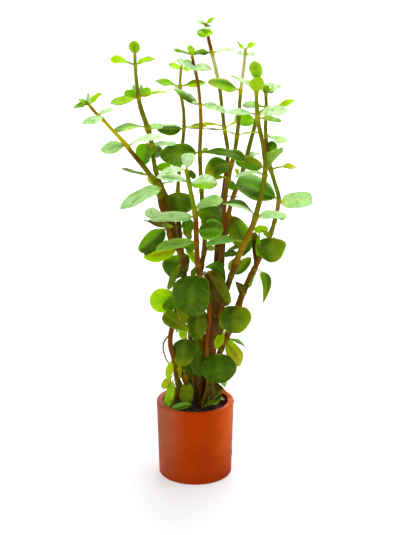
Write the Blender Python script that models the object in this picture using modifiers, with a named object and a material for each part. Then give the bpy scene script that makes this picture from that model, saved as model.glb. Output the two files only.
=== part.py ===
"""Potted Indian toothcup, an aquarium stem plant about 295 mm tall in a 50 mm terracotta-orange pot.

The origin is the centre of the pot's underside, +Z is up and the best side looks along -Y.
Single sizes are in metres. The planting plan (the tables of shoots and leaves) is in millimetres,
as on a drawing, and MM turns it into metres.
"""

import math

import bmesh
import bpy
from mathutils import Vector

MM = 0.001
GAP = 0.0003

# Pot
POT_HEIGHT = 0.050
POT_RIM_RADIUS = 0.025
POT_FOOT_RADIUS = 0.0237
POT_WALL = 0.004
POT_FLOOR = 0.004
POT_LIP_ROUND = 0.0014
POT_FOOT_ROUND = 0.0016
POT_STEPS = 24

# Growing medium
MEDIUM_TOP = 0.0442
MEDIUM_SHOULDER_DROP = 0.0020
MEDIUM_WALL_GAP = 0.0005
SOCKET_SIDES = 10

# Leaves
LEAF_THICKNESS = 0.0007
PETIOLE_SHARE = 0.14
PETIOLE_WIDTH = 0.16
ROUNDNESS = 0.70
LARGE_RINGS = 7
SMALL_RINGS = 5
TINY_RINGS = 4
TINY_LENGTH = 6.0
CUP = 0.10

# Shoots: name, radius at the bottom and at the top, then the route from the bottom up, all in millimetres.
SHOOTS = {
    "stem_a": (1.5, 0.85, (
        (-16, -4.2, 160), (-16.9, -4, 164), (-18.1, -3.8, 170), (-19.3, -3.6, 176.3), (-21.1, -3.6, 183),
        (-21.4, -3.6, 188), (-23.7, -3.9, 194), (-27, -4.6, 199.5), (-31.4, -5.6, 206), (-35.7, -6.6, 211.5),
        (-39.6, -7.5, 216.8), (-42.5, -8.3, 221), (-47.4, -9.3, 226.8), (-51.3, -10.2, 231.3),
        (-55.2, -11, 236), (-59.1, -12, 240), (-63.8, -13, 246))),
    "stem_b": (1.7, 1.0, (
        (-9, 3, 37), (-9.3, 2.8, 48), (-11.9, 0.6, 64), (-13.8, -1.6, 78.5), (-15.9, -2.5, 89),
        (-15.4, -2.2, 97), (-13.9, -1.8, 103), (-10.6, -1.2, 116), (-8.3, -1, 126), (-6.9, -1, 136),
        (-7.3, -1, 143), (-9.5, -1, 151), (-12.6, -1, 157.5), (-13.6, -0.8, 164), (-15.6, -0.4, 176),
        (-18.3, 0.3, 184.5), (-22.6, 1.5, 196), (-25, 2, 205), (-26.3, 2.5, 216), (-28.4, 3, 226),
        (-33.6, 4.5, 242), (-35.9, 5.5, 260), (-36.5, 6.5, 274))),
    "stem_c": (1.4, 0.95, (
        (0.5, 8.5, 37), (0.5, 8.5, 47), (-1, 8, 65), (-3.7, 7, 97), (-5.8, 6.6, 123), (-7.2, 6.6, 137),
        (-9.2, 7, 152), (-10.9, 8.8, 183), (-9.8, 10.3, 201), (-8.2, 11.3, 213), (-6.9, 12.3, 226),
        (-7, 13.2, 236), (-9.2, 14.5, 251), (-8.4, 15, 265))),
    "stem_d": (1.45, 1.0, (
        (2.5, 4.2, 37), (2.5, 4.2, 47), (3.2, 4, 56), (4.4, 3.6, 75), (4.6, 3, 90), (3.8, 2.4, 104),
        (3, 1.8, 118), (3, 1, 130), (3.9, 0.3, 141), (5.4, -0.3, 148), (6, -0.5, 155),
        (5, -0.3, 172), (3.5, -1, 200), (3, -1.8, 212), (3.6, -3.2, 236), (2.1, -4.2, 255), (-2, -5, 275))),
    "stem_e": (1.4, 0.75, (
        (6.3, 9.2, 37), (6.3, 9.2, 47), (8.5, 8, 64), (11.5, 6.7, 93), (12.8, 6.7, 118), (13.8, 7.8, 144),
        (15.7, 8.8, 168), (19.1, 9, 196), (20.3, 7.4, 213), (18.5, 6, 225), (16.6, 7, 240),
        (15.1, 8, 252), (10.9, 10, 271), (8.2, 11, 282), (6.4, 11.8, 291))),
    "stem_f": (1.4, 0.6, (
        (8.5, 4, 37), (8.5, 4, 47), (10.5, 3, 70), (13, 2, 96), (15, 2, 117), (17.2, 2.8, 150),
        (17.8, 3, 172), (19, 3, 187), (21.3, 3, 199), (24.8, 3.6, 215), (26.2, 4, 226),
        (28.1, 4, 253), (29.7, 3, 266), (30.6, 2, 277))),
    "stem_g": (1.5, 1.05, (
        (16.6, -0.9, 112.5), (19.8, -2.6, 125), (22.6, -4, 135), (27, -5.5, 148), (31.4, -6.3, 159),
        (36.2, -6.8, 170), (38.6, -7.1, 179.5), (41.6, -7.7, 193), (43, -8, 205), (42, -8, 216),
        (37.8, -8, 238), (37.1, -8.5, 248), (36.8, -9, 261))),
    "stem_h": (1.45, 0.95, (
        (11.5, 9.5, 37), (11.5, 9.5, 46), (13.1, 7.6, 65.5), (16.8, 4, 83.5), (21.5, 2.7, 95),
        (26.2, 2, 108), (30, 2.2, 121), (34.5, 2.6, 131), (40.7, 3, 144.6), (46.5, 3, 158),
        (49.8, 3, 168.7), (51.7, 3, 178), (52.2, 3.2, 184), (49.7, 3.6, 193), (46.8, 4.1, 202.6),
        (43.6, 6.2, 224.7), (43.8, 7.6, 241), (43.3, 8.8, 251.5))),
    "stem_j": (1.45, 0.95, (
        (5.4, 0.6, 37), (5.4, 0.6, 47), (7.4, -0.1, 54), (8.8, 0, 61), (8.2, 0.4, 72), (7.6, 0.4, 82),
        (8, -0.4, 94), (9, -2.6, 106), (8.4, -4.6, 118.5), (5, -6.8, 129), (2.6, -8.6, 138.5), (1, -11.8, 158.5),
        (0.3, -14, 177.7), (-1.6, -15.6, 190.5), (-3.4, -17.2, 203), (-4.3, -18, 207.5))),
    "stem_k": (1.35, 1.1, (
        (19.2, 5.8, 159.5), (20.9, 7.2, 171.5), (24, 9.3, 183.5), (28.3, 11.4, 194), (32, 13.6, 207),
        (35.9, 15.2, 222), (39.2, 16, 235))),
    "stem_p": (1.3, 1.1, (
        (38.5, 6.2, 144.5), (37.9, 7, 149), (37.6, 8, 154), (37.6, 9.3, 160))),
}

# Stems that stand in the medium; the others fork off one of these.
ROOTED = ("stem_b", "stem_c", "stem_d", "stem_e", "stem_f", "stem_h", "stem_j")

# Large leaves, each its own piece. Name, stem, height of its node, reach from the node to the tip
# (x, y, z), width, arch, roll in degrees (the upper face turned to -Y), colour. In millimetres;
# the arch is a share of the length.
LARGE_LEAVES = (
    ("leaf_a_lower", "stem_a", 191.5, (-23.5, -6, -11.7), 9, 0.04, 35, "bright"),
    ("leaf_a_folded", "stem_a", 163, (-14, -5, -12), 12, 0.08, 35, "green"),
    ("leaf_a_left", "stem_a", 217.8, (-15.5, -2, -2), 8.5, 0, 50, "green"),
    ("leaf_a_right", "stem_a", 218.5, (19, -1, 5.3), 6, 0.08, 15, "pale"),
    ("leaf_b_back", "stem_b", 218, (-4, 7.5, -12.5), 16, 0.05, 0, "dark"),
    ("leaf_b_yellow", "stem_b", 150.5, (-21, -3, -3.5), 9, 0, 55, "yellow"),
    ("leaf_b_hanging", "stem_b", 148.5, (-8, -7, -13), 11.5, 0.10, 0, "dark"),
    ("leaf_b_side", "stem_b", 139.5, (-8.7, -8, -11.5), 6.5, 0.10, 20, "olive"),
    ("leaf_b_round", "stem_b", 121.5, (-18, 0, -4), 14, 0.03, 72, "lime"),
    ("leaf_b_olive", "stem_b", 113, (7.3, -8.5, -12.4), 15.5, 0.08, 0, "olive"),
    ("leaf_b_in_pot", "stem_b", 64, (-4.5, -4.5, -17.5), 6.5, 0.03, 40, "bright"),
    ("leaf_c_left", "stem_c", 228, (-14.5, -1, 0), 10, 0.02, 50, "dark"),
    ("leaf_c_front", "stem_c", 187, (2, -9, -9), 17, 0.10, 0, "dark"),
    ("leaf_c_round", "stem_c", 91, (-5, -6.5, -17.5), 15.5, 0.08, 0, "dark"),
    ("leaf_d_left", "stem_d", 214, (-23.5, -2, -2), 14.5, 0.03, 55, "dark"),
    ("leaf_d_right", "stem_d", 213.7, (26, -6, -1.5), 8, 0.15, 22, "green"),
    ("leaf_d_brown", "stem_d", 140, (17.3, -11.5, -22), 11, 0.05, 35, "olive"),
    ("leaf_d_long", "stem_d", 146, (10.8, -1.2, -15), 5, 0.12, 0, "dark"),
    ("leaf_d_hanging", "stem_d", 107, (-2.5, -8, -12.5), 12, 0.08, 0, "green"),
    ("leaf_f_upper", "stem_f", 252.5, (-20, -7, 5.8), 9, 0.10, -35, "green"),
    ("leaf_f_left", "stem_f", 199.5, (-15, -2, 4), 13, 0.08, 45, "dark"),
    ("leaf_f_dead", "stem_f", 64, (7, -2.5, -13), 7, 0.08, 0, "brown"),
    ("leaf_k_left", "stem_k", 231, (-12.5, -5, 1), 10.5, 0.05, 55, "bright"),
    ("leaf_k_right", "stem_k", 170, (10, 3, -11), 12, 0.10, 20, "olive"),
    ("leaf_g_upper", "stem_g", 238, (18.5, -3, 0.5), 9.5, 0.02, 40, "pale"),
    ("leaf_g_back", "stem_g", 206, (-11.5, 9, 6), 14, 0.08, 60, "green"),
    ("leaf_g_left", "stem_g", 175.5, (-19.5, -3, 8), 6, 0.20, 25, "green"),
    ("leaf_g_right", "stem_g", 174.5, (18, -2, 0), 8, 0.06, 25, "pale"),
    ("leaf_g_lower", "stem_g", 158.5, (-22, -3, -1), 6.5, 0.13, 30, "bright"),
    ("leaf_h_upright", "stem_h", 203.5, (6.5, -3, 13), 10, 0.05, 65, "bright"),
    ("leaf_h_right", "stem_h", 182.8, (19.5, -4, 1.5), 11, 0, 55, "pale"),
    ("leaf_h_left", "stem_h", 183.5, (-24, 3, 8), 18.5, 0.06, 42, "dark"),
    ("leaf_h_broad", "stem_h", 159, (2.5, -6, -13.5), 20, 0.12, 0, "olive"),
    ("leaf_h_crescent", "stem_h", 137.5, (5.4, 2, -20.5), 5.5, 0.18, 60, "olive"),
    ("leaf_h_lower", "stem_h", 115, (-2.5, -9, -16), 21, 0.10, 0, "green"),
    ("leaf_h_round", "stem_h", 83, (-5, -15, -15), 26.5, 0.12, 0, "dark"),
    ("leaf_j_upper_left", "stem_j", 197.5, (-20, -4, 3), 8, 0.10, 35, "pale"),
    ("leaf_j_upper_right", "stem_j", 196, (17, -3, 0.5), 9.5, 0.12, 25, "pale"),
    ("leaf_j_long", "stem_j", 179, (-29.5, -3, -1.5), 9, -0.02, 48, "pale"),
    ("leaf_j_right", "stem_j", 181, (16.5, -4, 7), 11, 0.12, 30, "bright"),
    ("leaf_j_dark", "stem_j", 180, (15, 10.5, -6), 12.5, 0.10, 76, "dark"),
    ("leaf_j_lower_left", "stem_j", 160.5, (-25, -4, -4), 7.5, 0.06, 35, "bright"),
    ("leaf_j_veined", "stem_j", 165, (15, -6.5, 3), 13, 0.06, 60, "green"),
    ("leaf_j_front", "stem_j", 136.5, (-6, -11, -23), 26.5, 0.10, 0, "dark"),
)

# Wilted leaves that have dropped on the growing medium. Name, stalk end, reach, width, arch, roll, colour.
FALLEN_LEAVES = (
    ("wilted_leaf_left", (-3.5, -3.5, 45.4), (-11.5, -1.5, 0.6), 5, 0.08, 10, "green"),
    ("wilted_leaf_right", (8.5, -4.5, 45.6), (10, 3.5, 2.6), 6, 0.12, 10, "olive"),
)

# Small leaves, in one piece with their stem: stem, height of the node, reach, width, arch, roll.
SMALL_LEAVES = (
    ("stem_a", 245.5, (7.8, -3, 7), 3.6, 0.08, 25),
    ("stem_a", 245.5, (-5.5, 2, 3), 2.3, 0.05, 15),
    ("stem_a", 245.5, (-9, -2, -2.2), 2.4, 0.15, 15),
    ("stem_a", 237.5, (-13, -4, -4), 6, 0.06, 25),
    ("stem_a", 237.5, (9, 4, 3.5), 3.5, 0.08, 15),
    ("stem_a", 200, (-16.5, -2, 3.6), 4, 0, 20),
    ("stem_a", 194, (-5, 4, 2), 4, 0.05, 30),
    ("stem_a", 166, (-16, -4, 6), 4.5, -0.05, -8),
    ("stem_b", 273, (0, -1.2, 8.7), 6.5, 0, 0),
    ("stem_b", 273, (1, 3, 7), 5, 0, 0),
    ("stem_b", 268.5, (-15.5, 4, 0), 6, 0.02, 35),
    ("stem_b", 268.5, (11.5, -3, 3), 4.5, 0.12, 25),
    ("stem_b", 246.8, (-16.5, -4, -1.5), 6, 0, 40),
    ("stem_b", 246.8, (16, 3, 2.2), 3.4, 0.08, -15),
    ("stem_b", 246.8, (-6.5, 7, 2), 8, 0.10, 10),
    ("stem_b", 246.8, (7.5, 7.5, 2.5), 8, 0.10, 10),
    ("stem_b", 228.6, (-19.5, -4, -2), 5.5, 0.12, 20),
    ("stem_b", 228.6, (7.5, 3, 0.5), 5, 0.05, 25),
    ("stem_b", 218.5, (14, -5, 2), 5, -0.03, 15),
    ("stem_b", 193, (8, 4, 1.5), 3.2, 0.05, 15),
    ("stem_b", 115.5, (-9, -7.5, -4), 7.5, 0.05, 60),
    ("stem_b", 75, (-5, -2, -7), 6, 0.05, 55),
    ("stem_b", 67, (-9, -2, -6.5), 6.5, 0.05, 55),
    ("stem_c", 264.5, (-6.5, 1, 3), 3, 0.05, 20),
    ("stem_c", 264.5, (6.5, -1, 0), 3, 0.05, 20),
    ("stem_c", 253.6, (-15.5, 3, 3.2), 4.8, 0.02, 20),
    ("stem_c", 253.6, (15.5, -3, 2), 4.8, 0.05, 20),
    ("stem_c", 251, (13, -6, -7.5), 6.5, 0.08, 15),
    ("stem_c", 226.5, (9, -3, 1), 3.5, 0.05, 0),
    ("stem_c", 170, (7, -6, -6), 9, 0.10, 30),
    ("stem_c", 160, (6, -5, -8), 8, 0.10, 20),
    ("stem_c", 150, (3.5, -4, -14), 6, 0.08, 0),
    ("stem_c", 98, (-7, 3, -5), 4.5, 0.10, 20),
    ("stem_c", 84, (1, -3, -22), 8.5, 0.05, 0),
    ("stem_c", 66, (-5, -5, -16), 9, 0.05, 30),
    ("stem_c", 115, (-10, 11, -9), 11, 0.10, 0),
    ("stem_c", 75, (-8, 9, -12), 11, 0.10, 0),
    ("stem_c", 200, (-6, 12, 4), 8, 0.10, 0),
    ("stem_d", 274.5, (-1, 2, 4), 4, 0, 0),
    ("stem_d", 274.5, (-10, 2, 2), 2.6, 0.05, 15),
    ("stem_d", 274.5, (5, -2, 1), 2.2, 0.05, 15),
    ("stem_d", 266.3, (-10.5, -3, 5.5), 5.5, 0.06, 20),
    ("stem_d", 266.3, (10.5, 2, -0.5), 5.5, 0.10, 20),
    ("stem_d", 244, (-5, 3, 1), 3, 0.05, 15),
    ("stem_d", 244, (15.5, -4, -4), 4.8, 0.12, 20),
    ("stem_d", 190, (-6, 12, 2), 8, 0.10, 0),
    ("stem_e", 290.5, (5.5, -2, 4), 2.3, 0.05, 20),
    ("stem_e", 290.5, (-5, 2, 1.5), 2.2, 0.05, 20),
    ("stem_e", 286.6, (-5.5, -4, -2), 5.5, 0.08, 25),
    ("stem_e", 286.6, (3.5, -4, -2), 5.5, 0.08, 25),
    ("stem_e", 273.3, (14.5, 4, 1.2), 2.8, 0.10, 10),
    ("stem_e", 273.3, (-10, -3, 0.7), 3.2, 0.05, -15),
    ("stem_e", 228.8, (-14, 3, 0.8), 3.8, 0.05, 5),
    ("stem_e", 152, (-6, -4, -1), 4, 0.08, 30),
    ("stem_e", 182, (8, 13, -3), 9, 0.10, 0),
    ("stem_e", 125, (-8, 13, -8), 11, 0.10, 0),
    ("stem_e", 90, (3, 13, -12), 13, 0.10, 0),
    ("stem_f", 276.5, (-4.5, 1, 4), 1.8, -0.05, 15),
    ("stem_f", 276.5, (5.3, -1, 3.2), 2.4, 0.15, 15),
    ("stem_f", 273.6, (-5, -2, 1), 3.2, 0.05, 15),
    ("stem_f", 273.6, (5, 2, -0.3), 3.2, 0.05, 15),
    ("stem_f", 223.5, (10.5, 4, 1), 2.6, 0.10, 10),
    ("stem_f", 223.5, (-20, -4, 5), 3, -0.05, 10),
    ("stem_f", 196, (4, -3, -4), 5.5, 0.05, 60),
    ("stem_f", 196, (-16, -6, 0.5), 5.5, 0.05, 30),
    ("stem_k", 233, (6, 3, 4), 5, 0.08, 15),
    ("stem_k", 205, (8, 11, 3), 8, 0.10, 0),
    ("stem_g", 260, (-0.5, -1, 10), 9, 0, 0),
    ("stem_g", 254.5, (0.5, -3, 7.5), 9.5, 0, 0),
    ("stem_g", 256.5, (-15, 3, 5), 4, -0.05, 15),
    ("stem_g", 256.5, (14, 3, -0.5), 2.8, 0.05, 15),
    ("stem_g", 238.5, (-17.5, -3, 1.5), 4.5, 0.10, 5),
    ("stem_g", 236.5, (14, 2, -3.5), 4, 0.10, 20),
    ("stem_g", 203, (-17.5, -3, -1), 5.5, 0.10, 20),
    ("stem_g", 151, (-10, -2, -1.5), 3.5, 0.15, 15),
    ("stem_g", 136, (9.5, 3, 10.5), 5.5, 0.08, 40),
    ("stem_h", 251, (-3, -2, 2.5), 2.6, 0.05, 20),
    ("stem_h", 251, (4.8, 1, 2.6), 3, 0.05, 20),
    ("stem_h", 251, (9.5, 2, 2), 2, 0.05, 10),
    ("stem_h", 241, (-15, 2, 2), 5.5, 0.08, -5),
    ("stem_h", 241, (15, -3, 4), 4.8, -0.10, 20),
    ("stem_h", 223.5, (13, 3, -4), 5.5, 0.08, 25),
    ("stem_h", 203.5, (0.5, 6, 17), 8, 0.05, 40),
    ("stem_h", 203.5, (14.8, 3, 0.7), 3.6, 0.08, 25),
    ("stem_h", 170, (5, 13, -4), 9, 0.10, 0),
    ("stem_h", 135, (-1, -3, -8.5), 2.2, 0.05, 0),
    ("stem_h", 123, (-5, -2, 6.5), 3.5, 0.05, 40),
    ("stem_h", 105, (6, 12, -9), 11, 0.10, 0),
    ("stem_h", 97, (-7, 4, -6), 7, 0.05, 40),
    ("stem_h", 93, (12.5, 2, -6), 3, 0.12, 20),
    ("stem_h", 88, (8.5, 1.5, -16), 8, 0.08, 50),
    ("stem_h", 78, (5, 1, -18), 4.5, 0.05, 30),
    ("stem_j", 207, (3, 4, 9), 9.5, 0.10, 0),
    ("stem_j", 207, (-17, -2, -2), 5.5, 0.08, 30),
    ("stem_j", 207, (5, 2, -6), 3.2, 0.05, 20),
    ("stem_p", 159, (9, -1, 3), 6, 0.08, 40),
    ("stem_p", 157, (-7.5, -2, -12), 8, 0.08, 30),
)


def material(name, colour, roughness):
    made = bpy.data.materials.new(name)
    made.use_nodes = True
    shader = made.node_tree.nodes["Principled BSDF"]
    shader.inputs["Base Color"].default_value = (*colour, 1)
    shader.inputs["Roughness"].default_value = roughness
    shader.inputs["Metallic"].default_value = 0
    made.diffuse_color = (*colour, 1)
    return made


def pot_clay():
    return material("pot_clay", (0.38, 0.036, 0.005), 0.45)


def growing_wool():
    return material("growing_wool", (0.045, 0.030, 0.015), 0.95)


def stem_skin():
    return material("stem_skin", (0.115, 0.095, 0.010), 0.45)


def leaf_blades():
    """One material for each colour of leaf."""
    colours = {
        "lime": (0.42, 0.62, 0.010),
        "bright": (0.30, 0.52, 0.010),
        "pale": (0.45, 0.70, 0.30),
        "green": (0.12, 0.28, 0.010),
        "dark": (0.045, 0.120, 0.006),
        "olive": (0.110, 0.140, 0.008),
        "yellow": (0.50, 0.52, 0.015),
        "brown": (0.060, 0.032, 0.008),
    }
    return {name: material("leaf_" + name, colour, 0.35) for name, colour in colours.items()}


def clear_scene():
    for thing in list(bpy.data.objects):
        bpy.data.objects.remove(thing, do_unlink=True)


def collection(name):
    made = bpy.data.collections.new(name)
    bpy.context.scene.collection.children.link(made)
    return made


def place(name, mesh, group, skin=None):
    """Puts a mesh in the scene as a named object."""
    thing = bpy.data.objects.new(name, mesh)
    if skin:
        mesh.materials.append(skin)
    group.objects.link(thing)
    return thing


def as_cutter(thing):
    thing.hide_render = True
    thing.display_type = "WIRE"


def arc(centre, radius, start, end, steps):
    """Points of a round edge in the turned profile, from the start to the end angle."""
    points = []
    for step in range(steps + 1):
        angle = math.radians(start + (end - start) * step / steps)
        points.append((centre[0] + radius * math.cos(angle), centre[1] + radius * math.sin(angle)))
    return points


def turned(name, profile, group, skin, steps=POT_STEPS):
    """A solid of revolution about Z from its profile in the XZ plane."""
    mesh = bpy.data.meshes.new(name)
    edges = [(index, index + 1) for index in range(len(profile) - 1)]
    mesh.from_pydata([(x, 0, z) for x, z in profile], edges, [])
    thing = place(name, mesh, group, skin)
    screw = thing.modifiers.new("turn", "SCREW")
    screw.axis = "Z"
    screw.steps = steps
    screw.render_steps = steps
    screw.use_merge_vertices = True
    screw.merge_threshold = 0.00001
    screw.use_smooth_shade = True
    return thing


def inner_radius(height):
    """The pot's inner wall follows its tapered outside."""
    slope = (POT_RIM_RADIUS - POT_FOOT_RADIUS) / POT_HEIGHT
    return POT_FOOT_RADIUS + slope * height - POT_WALL


def make_pot(group):
    lip = POT_LIP_ROUND
    foot = POT_FOOT_ROUND
    top = POT_HEIGHT
    rim_in = inner_radius(top)
    profile = [(0, POT_FLOOR), (inner_radius(POT_FLOOR) - lip, POT_FLOOR)]
    profile.append((inner_radius(POT_FLOOR + lip), POT_FLOOR + lip))
    profile += arc((rim_in + lip, top - lip), lip, 180, 90, 3)
    profile += arc((POT_RIM_RADIUS - lip, top - lip), lip, 90, 0, 3)
    profile += arc((POT_FOOT_RADIUS - foot, foot), foot, 0, -90, 3)
    profile.append((0, 0))
    return turned("pot", profile, group, pot_clay())


def route_point(stem, height):
    """The point on a stem's centre line at a height, in millimetres."""
    route = SHOOTS[stem][2]
    for low, high in zip(route, route[1:]):
        if height <= high[2]:
            break
    share = (height - low[2]) / (high[2] - low[2])
    return Vector(low).lerp(Vector(high), min(max(share, 0), 1))


def stem_radius(stem, height):
    """A stem tapers evenly from its bottom to its top, in millimetres."""
    bottom, top, route = SHOOTS[stem]
    share = (height - route[0][2]) / (route[-1][2] - route[0][2])
    return bottom + (top - bottom) * share


def make_medium(group, cutters):
    """A plug that fills the pot, with a socket for each rooted stem."""
    shoulder = MEDIUM_TOP - MEDIUM_SHOULDER_DROP
    foot = POT_FLOOR + MEDIUM_WALL_GAP
    wide = inner_radius(shoulder) - MEDIUM_WALL_GAP
    narrow = inner_radius(foot + POT_LIP_ROUND) - MEDIUM_WALL_GAP
    profile = [(0, MEDIUM_TOP), (0.7 * wide, MEDIUM_TOP - 0.2 * MEDIUM_SHOULDER_DROP), (wide, shoulder)]
    profile += [(narrow, foot + POT_LIP_ROUND), (narrow - POT_LIP_ROUND, foot), (0, foot)]
    medium = turned("growing_medium", profile, group, growing_wool(), 20)
    for stem in ROOTED:
        bottom = Vector(SHOOTS[stem][2][0]) * MM
        radius = SHOOTS[stem][0] * MM + GAP
        mesh = bpy.data.meshes.new("socket_" + stem)
        form = bmesh.new()
        bmesh.ops.create_cone(form, cap_ends=True, segments=SOCKET_SIDES, radius1=radius * 1.08,
                              radius2=radius * 1.25, depth=0.016)
        form.to_mesh(mesh)
        form.free()
        socket = place(mesh.name, mesh, cutters)
        socket.location = bottom + Vector((0, 0, 0.008 - GAP))
        as_cutter(socket)
        cut = medium.modifiers.new(mesh.name, "BOOLEAN")
        cut.operation = "DIFFERENCE"
        cut.solver = "EXACT"
        cut.object = socket
    return medium


def stem_mesh(stem):
    """A tapering tube along the stem's route, as a closed mesh."""
    route = SHOOTS[stem][2]
    line = bpy.data.curves.new(stem, "CURVE")
    line.dimensions = "3D"
    line.bevel_depth = MM
    line.bevel_resolution = 1
    line.use_fill_caps = True
    spline = line.splines.new("POLY")
    spline.points.add(len(route) - 1)
    for point, place_mm in zip(spline.points, route):
        point.co = (*(Vector(place_mm) * MM), 1)
        point.radius = stem_radius(stem, place_mm[2])
    holder = bpy.data.objects.new(stem, line)
    bpy.context.scene.collection.objects.link(holder)
    ready = holder.evaluated_get(bpy.context.evaluated_depsgraph_get())
    mesh = bpy.data.meshes.new_from_object(ready)
    bpy.data.objects.remove(holder)
    bpy.data.curves.remove(line)
    form = bmesh.new()
    form.from_mesh(mesh)
    bmesh.ops.remove_doubles(form, verts=form.verts, dist=0.00001)
    form.to_mesh(mesh)
    form.free()
    mesh.materials.clear()
    return mesh


def blade_axes(reach, roll):
    """The leaf's length, upper face and width directions; a positive roll shows the face to -Y."""
    along = reach.normalized()
    up = (Vector((0, 0, 1)) - along * along.z).normalized()
    side = along.cross(up)
    lean = math.radians(roll) * (1 if reach.x >= 0 else -1)
    face = up * math.cos(lean) + side * math.sin(lean)
    return along, face, face.cross(along)


def half_width(share):
    """A narrow stalk, then an oval blade, as a share of half the leaf's width."""
    spread = max(0, (share - PETIOLE_SHARE) / (1 - PETIOLE_SHARE))
    return max(PETIOLE_WIDTH, math.sin(math.pi * spread ** 0.9) ** ROUNDNESS)


def leaf_mesh(name, base, reach, width, arch, roll, rings):
    """A sphere with four sides drawn out along the leaf, flattened to its blade, cupped and arched."""
    along, face, across = blade_axes(reach, roll)
    length = reach.length
    mesh = bpy.data.meshes.new(name)
    form = bmesh.new()
    bmesh.ops.create_uvsphere(form, u_segments=4, v_segments=rings, radius=1)
    for vert in form.verts:
        share = math.acos(max(-1, min(1, -vert.co.z))) / math.pi
        ring = math.hypot(vert.co.x, vert.co.y)
        side = vert.co.x / ring if ring > 0.001 else 0
        rise = vert.co.y / ring if ring > 0.001 else 0
        spread = side * half_width(share) * width / 2
        bow = 4 * arch * length * share * (1 - share)
        lift = rise * LEAF_THICKNESS / 2 + CUP * abs(spread) + bow
        vert.co = base + reach * share + across * spread + face * lift
    form.to_mesh(mesh)
    form.free()
    mesh.shade_smooth()
    return mesh


def make_large_leaf(row, group, blades):
    """A leaf of its own, which starts just outside its stem."""
    name, stem, height, reach, width, arch, roll, tone = row
    reach = Vector(reach) * MM
    outward = Vector((reach.x, reach.y, 0)).normalized()
    base = route_point(stem, height) * MM + outward * (stem_radius(stem, height) * MM + 2 * GAP)
    mesh = leaf_mesh(name, base, reach, width * MM, arch, roll, LARGE_RINGS)
    return place(name, mesh, group, blades[tone])


def make_fallen_leaf(row, group, blades):
    """A leaf that lies loose on the medium."""
    name, base, reach, width, arch, roll, tone = row
    mesh = leaf_mesh(name, Vector(base) * MM, Vector(reach) * MM, width * MM, arch, roll, SMALL_RINGS)
    return place(name, mesh, group, blades[tone])


def make_stem(stem, group, cutters, skin):
    """A stem with its small leaves united to it."""
    thing = place(stem, stem_mesh(stem), group, skin)
    leaves = collection("leaves_of_" + stem)
    bpy.context.scene.collection.children.unlink(leaves)
    cutters.children.link(leaves)
    rows = [row for row in SMALL_LEAVES if row[0] == stem]
    for number, (_, height, reach, width, arch, roll) in enumerate(rows, 1):
        reach = Vector(reach) * MM
        rings = TINY_RINGS if reach.length < TINY_LENGTH * MM else SMALL_RINGS
        base = route_point(stem, height) * MM
        name = f"small_leaf_{stem[-1]}{number}"
        as_cutter(place(name, leaf_mesh(name, base, reach, width * MM, arch, roll, rings), leaves))
    if rows:
        union = thing.modifiers.new("small_leaves", "BOOLEAN")
        union.operation = "UNION"
        union.solver = "EXACT"
        union.operand_type = "COLLECTION"
        union.collection = leaves
    thing.data.shade_smooth()
    return thing


def main():
    clear_scene()
    plant = collection("potted_indian_toothcup")
    cutters = collection("cutters")
    make_pot(plant)
    make_medium(plant, cutters)
    skin = stem_skin()
    for stem in SHOOTS:
        make_stem(stem, plant, cutters, skin)
    blades = leaf_blades()
    for row in LARGE_LEAVES:
        make_large_leaf(row, plant, blades)
    for row in FALLEN_LEAVES:
        make_fallen_leaf(row, plant, blades)


main()
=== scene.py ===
"""Looks for a potted Indian toothcup, an aquarium stem plant in a terracotta-orange pot.

The planting plan (the tables of shoots and leaves) is in millimetres, as on a drawing, and MM turns it
into metres. Other sizes are in metres. The origin is the centre of the pot's underside, +Z is up and the
camera looks along +Y.
"""

import math
import random
from collections import namedtuple

import bpy
import numpy as np
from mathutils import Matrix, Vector, noise

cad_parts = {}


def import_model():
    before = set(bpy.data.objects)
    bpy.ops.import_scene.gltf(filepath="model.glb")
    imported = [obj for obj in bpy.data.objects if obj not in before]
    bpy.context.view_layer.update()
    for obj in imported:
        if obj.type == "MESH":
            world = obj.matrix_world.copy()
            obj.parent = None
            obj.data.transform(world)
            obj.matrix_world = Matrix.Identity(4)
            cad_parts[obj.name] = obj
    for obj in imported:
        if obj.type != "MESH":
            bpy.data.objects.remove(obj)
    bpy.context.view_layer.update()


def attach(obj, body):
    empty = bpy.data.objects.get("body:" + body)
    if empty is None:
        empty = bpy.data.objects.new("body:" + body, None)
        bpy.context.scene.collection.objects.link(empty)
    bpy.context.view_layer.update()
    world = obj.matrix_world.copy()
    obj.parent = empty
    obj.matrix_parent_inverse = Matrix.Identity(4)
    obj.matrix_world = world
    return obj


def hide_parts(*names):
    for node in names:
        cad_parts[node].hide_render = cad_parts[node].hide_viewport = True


MM = 0.001
UP = np.array((0.0, 0.0, 1.0))

# Camera, fitted to the photograph's view
CAMERA_PLACE = (0.0031, -0.835, 0.398)
CAMERA_PITCH = 17.2
CAMERA_LENS = 93.26
CAMERA_SENSOR = 36.0

# Lamps, all of them round: name, place, size and power; then the point that they face
LAMPS = (
    ("top", (0.15, 0.1, 1.2), 0.8, 13),
    ("back", (0.2, 1.3, 0.65), 1.2, 12),
    ("fill", (-0.6, -0.9, 0.7), 0.6, 3),
)
LAMP_AIM = (0, 0, 0.16)
WORLD_LIGHT = 0.15

# Floor: half its side, its drop below the pot, its glow near the pot and far from it, and from where to
# where. The glow is painted light, and the weaker glow near the pot paints a soft shadow around it.
FLOOR_REACH = 6.0
FLOOR_DROP = 0.0001
FLOOR_GLOW = (0.50, 0.98)
FLOOR_GLOW_FROM = (0.06, 0.60)

# Pot
POT_HEIGHT = 0.050
POT_RIM_RADIUS = 0.025
POT_FOOT_RADIUS = 0.0237
POT_WALL = 0.004
POT_FLOOR = 0.004
POT_LIP_ROUND = 0.0007
POT_FOOT_ROUND = 0.0010
POT_SEGMENTS = 160
POT_RIPPLE = 0.00006
POT_RIPPLE_SCALE = 120

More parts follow.
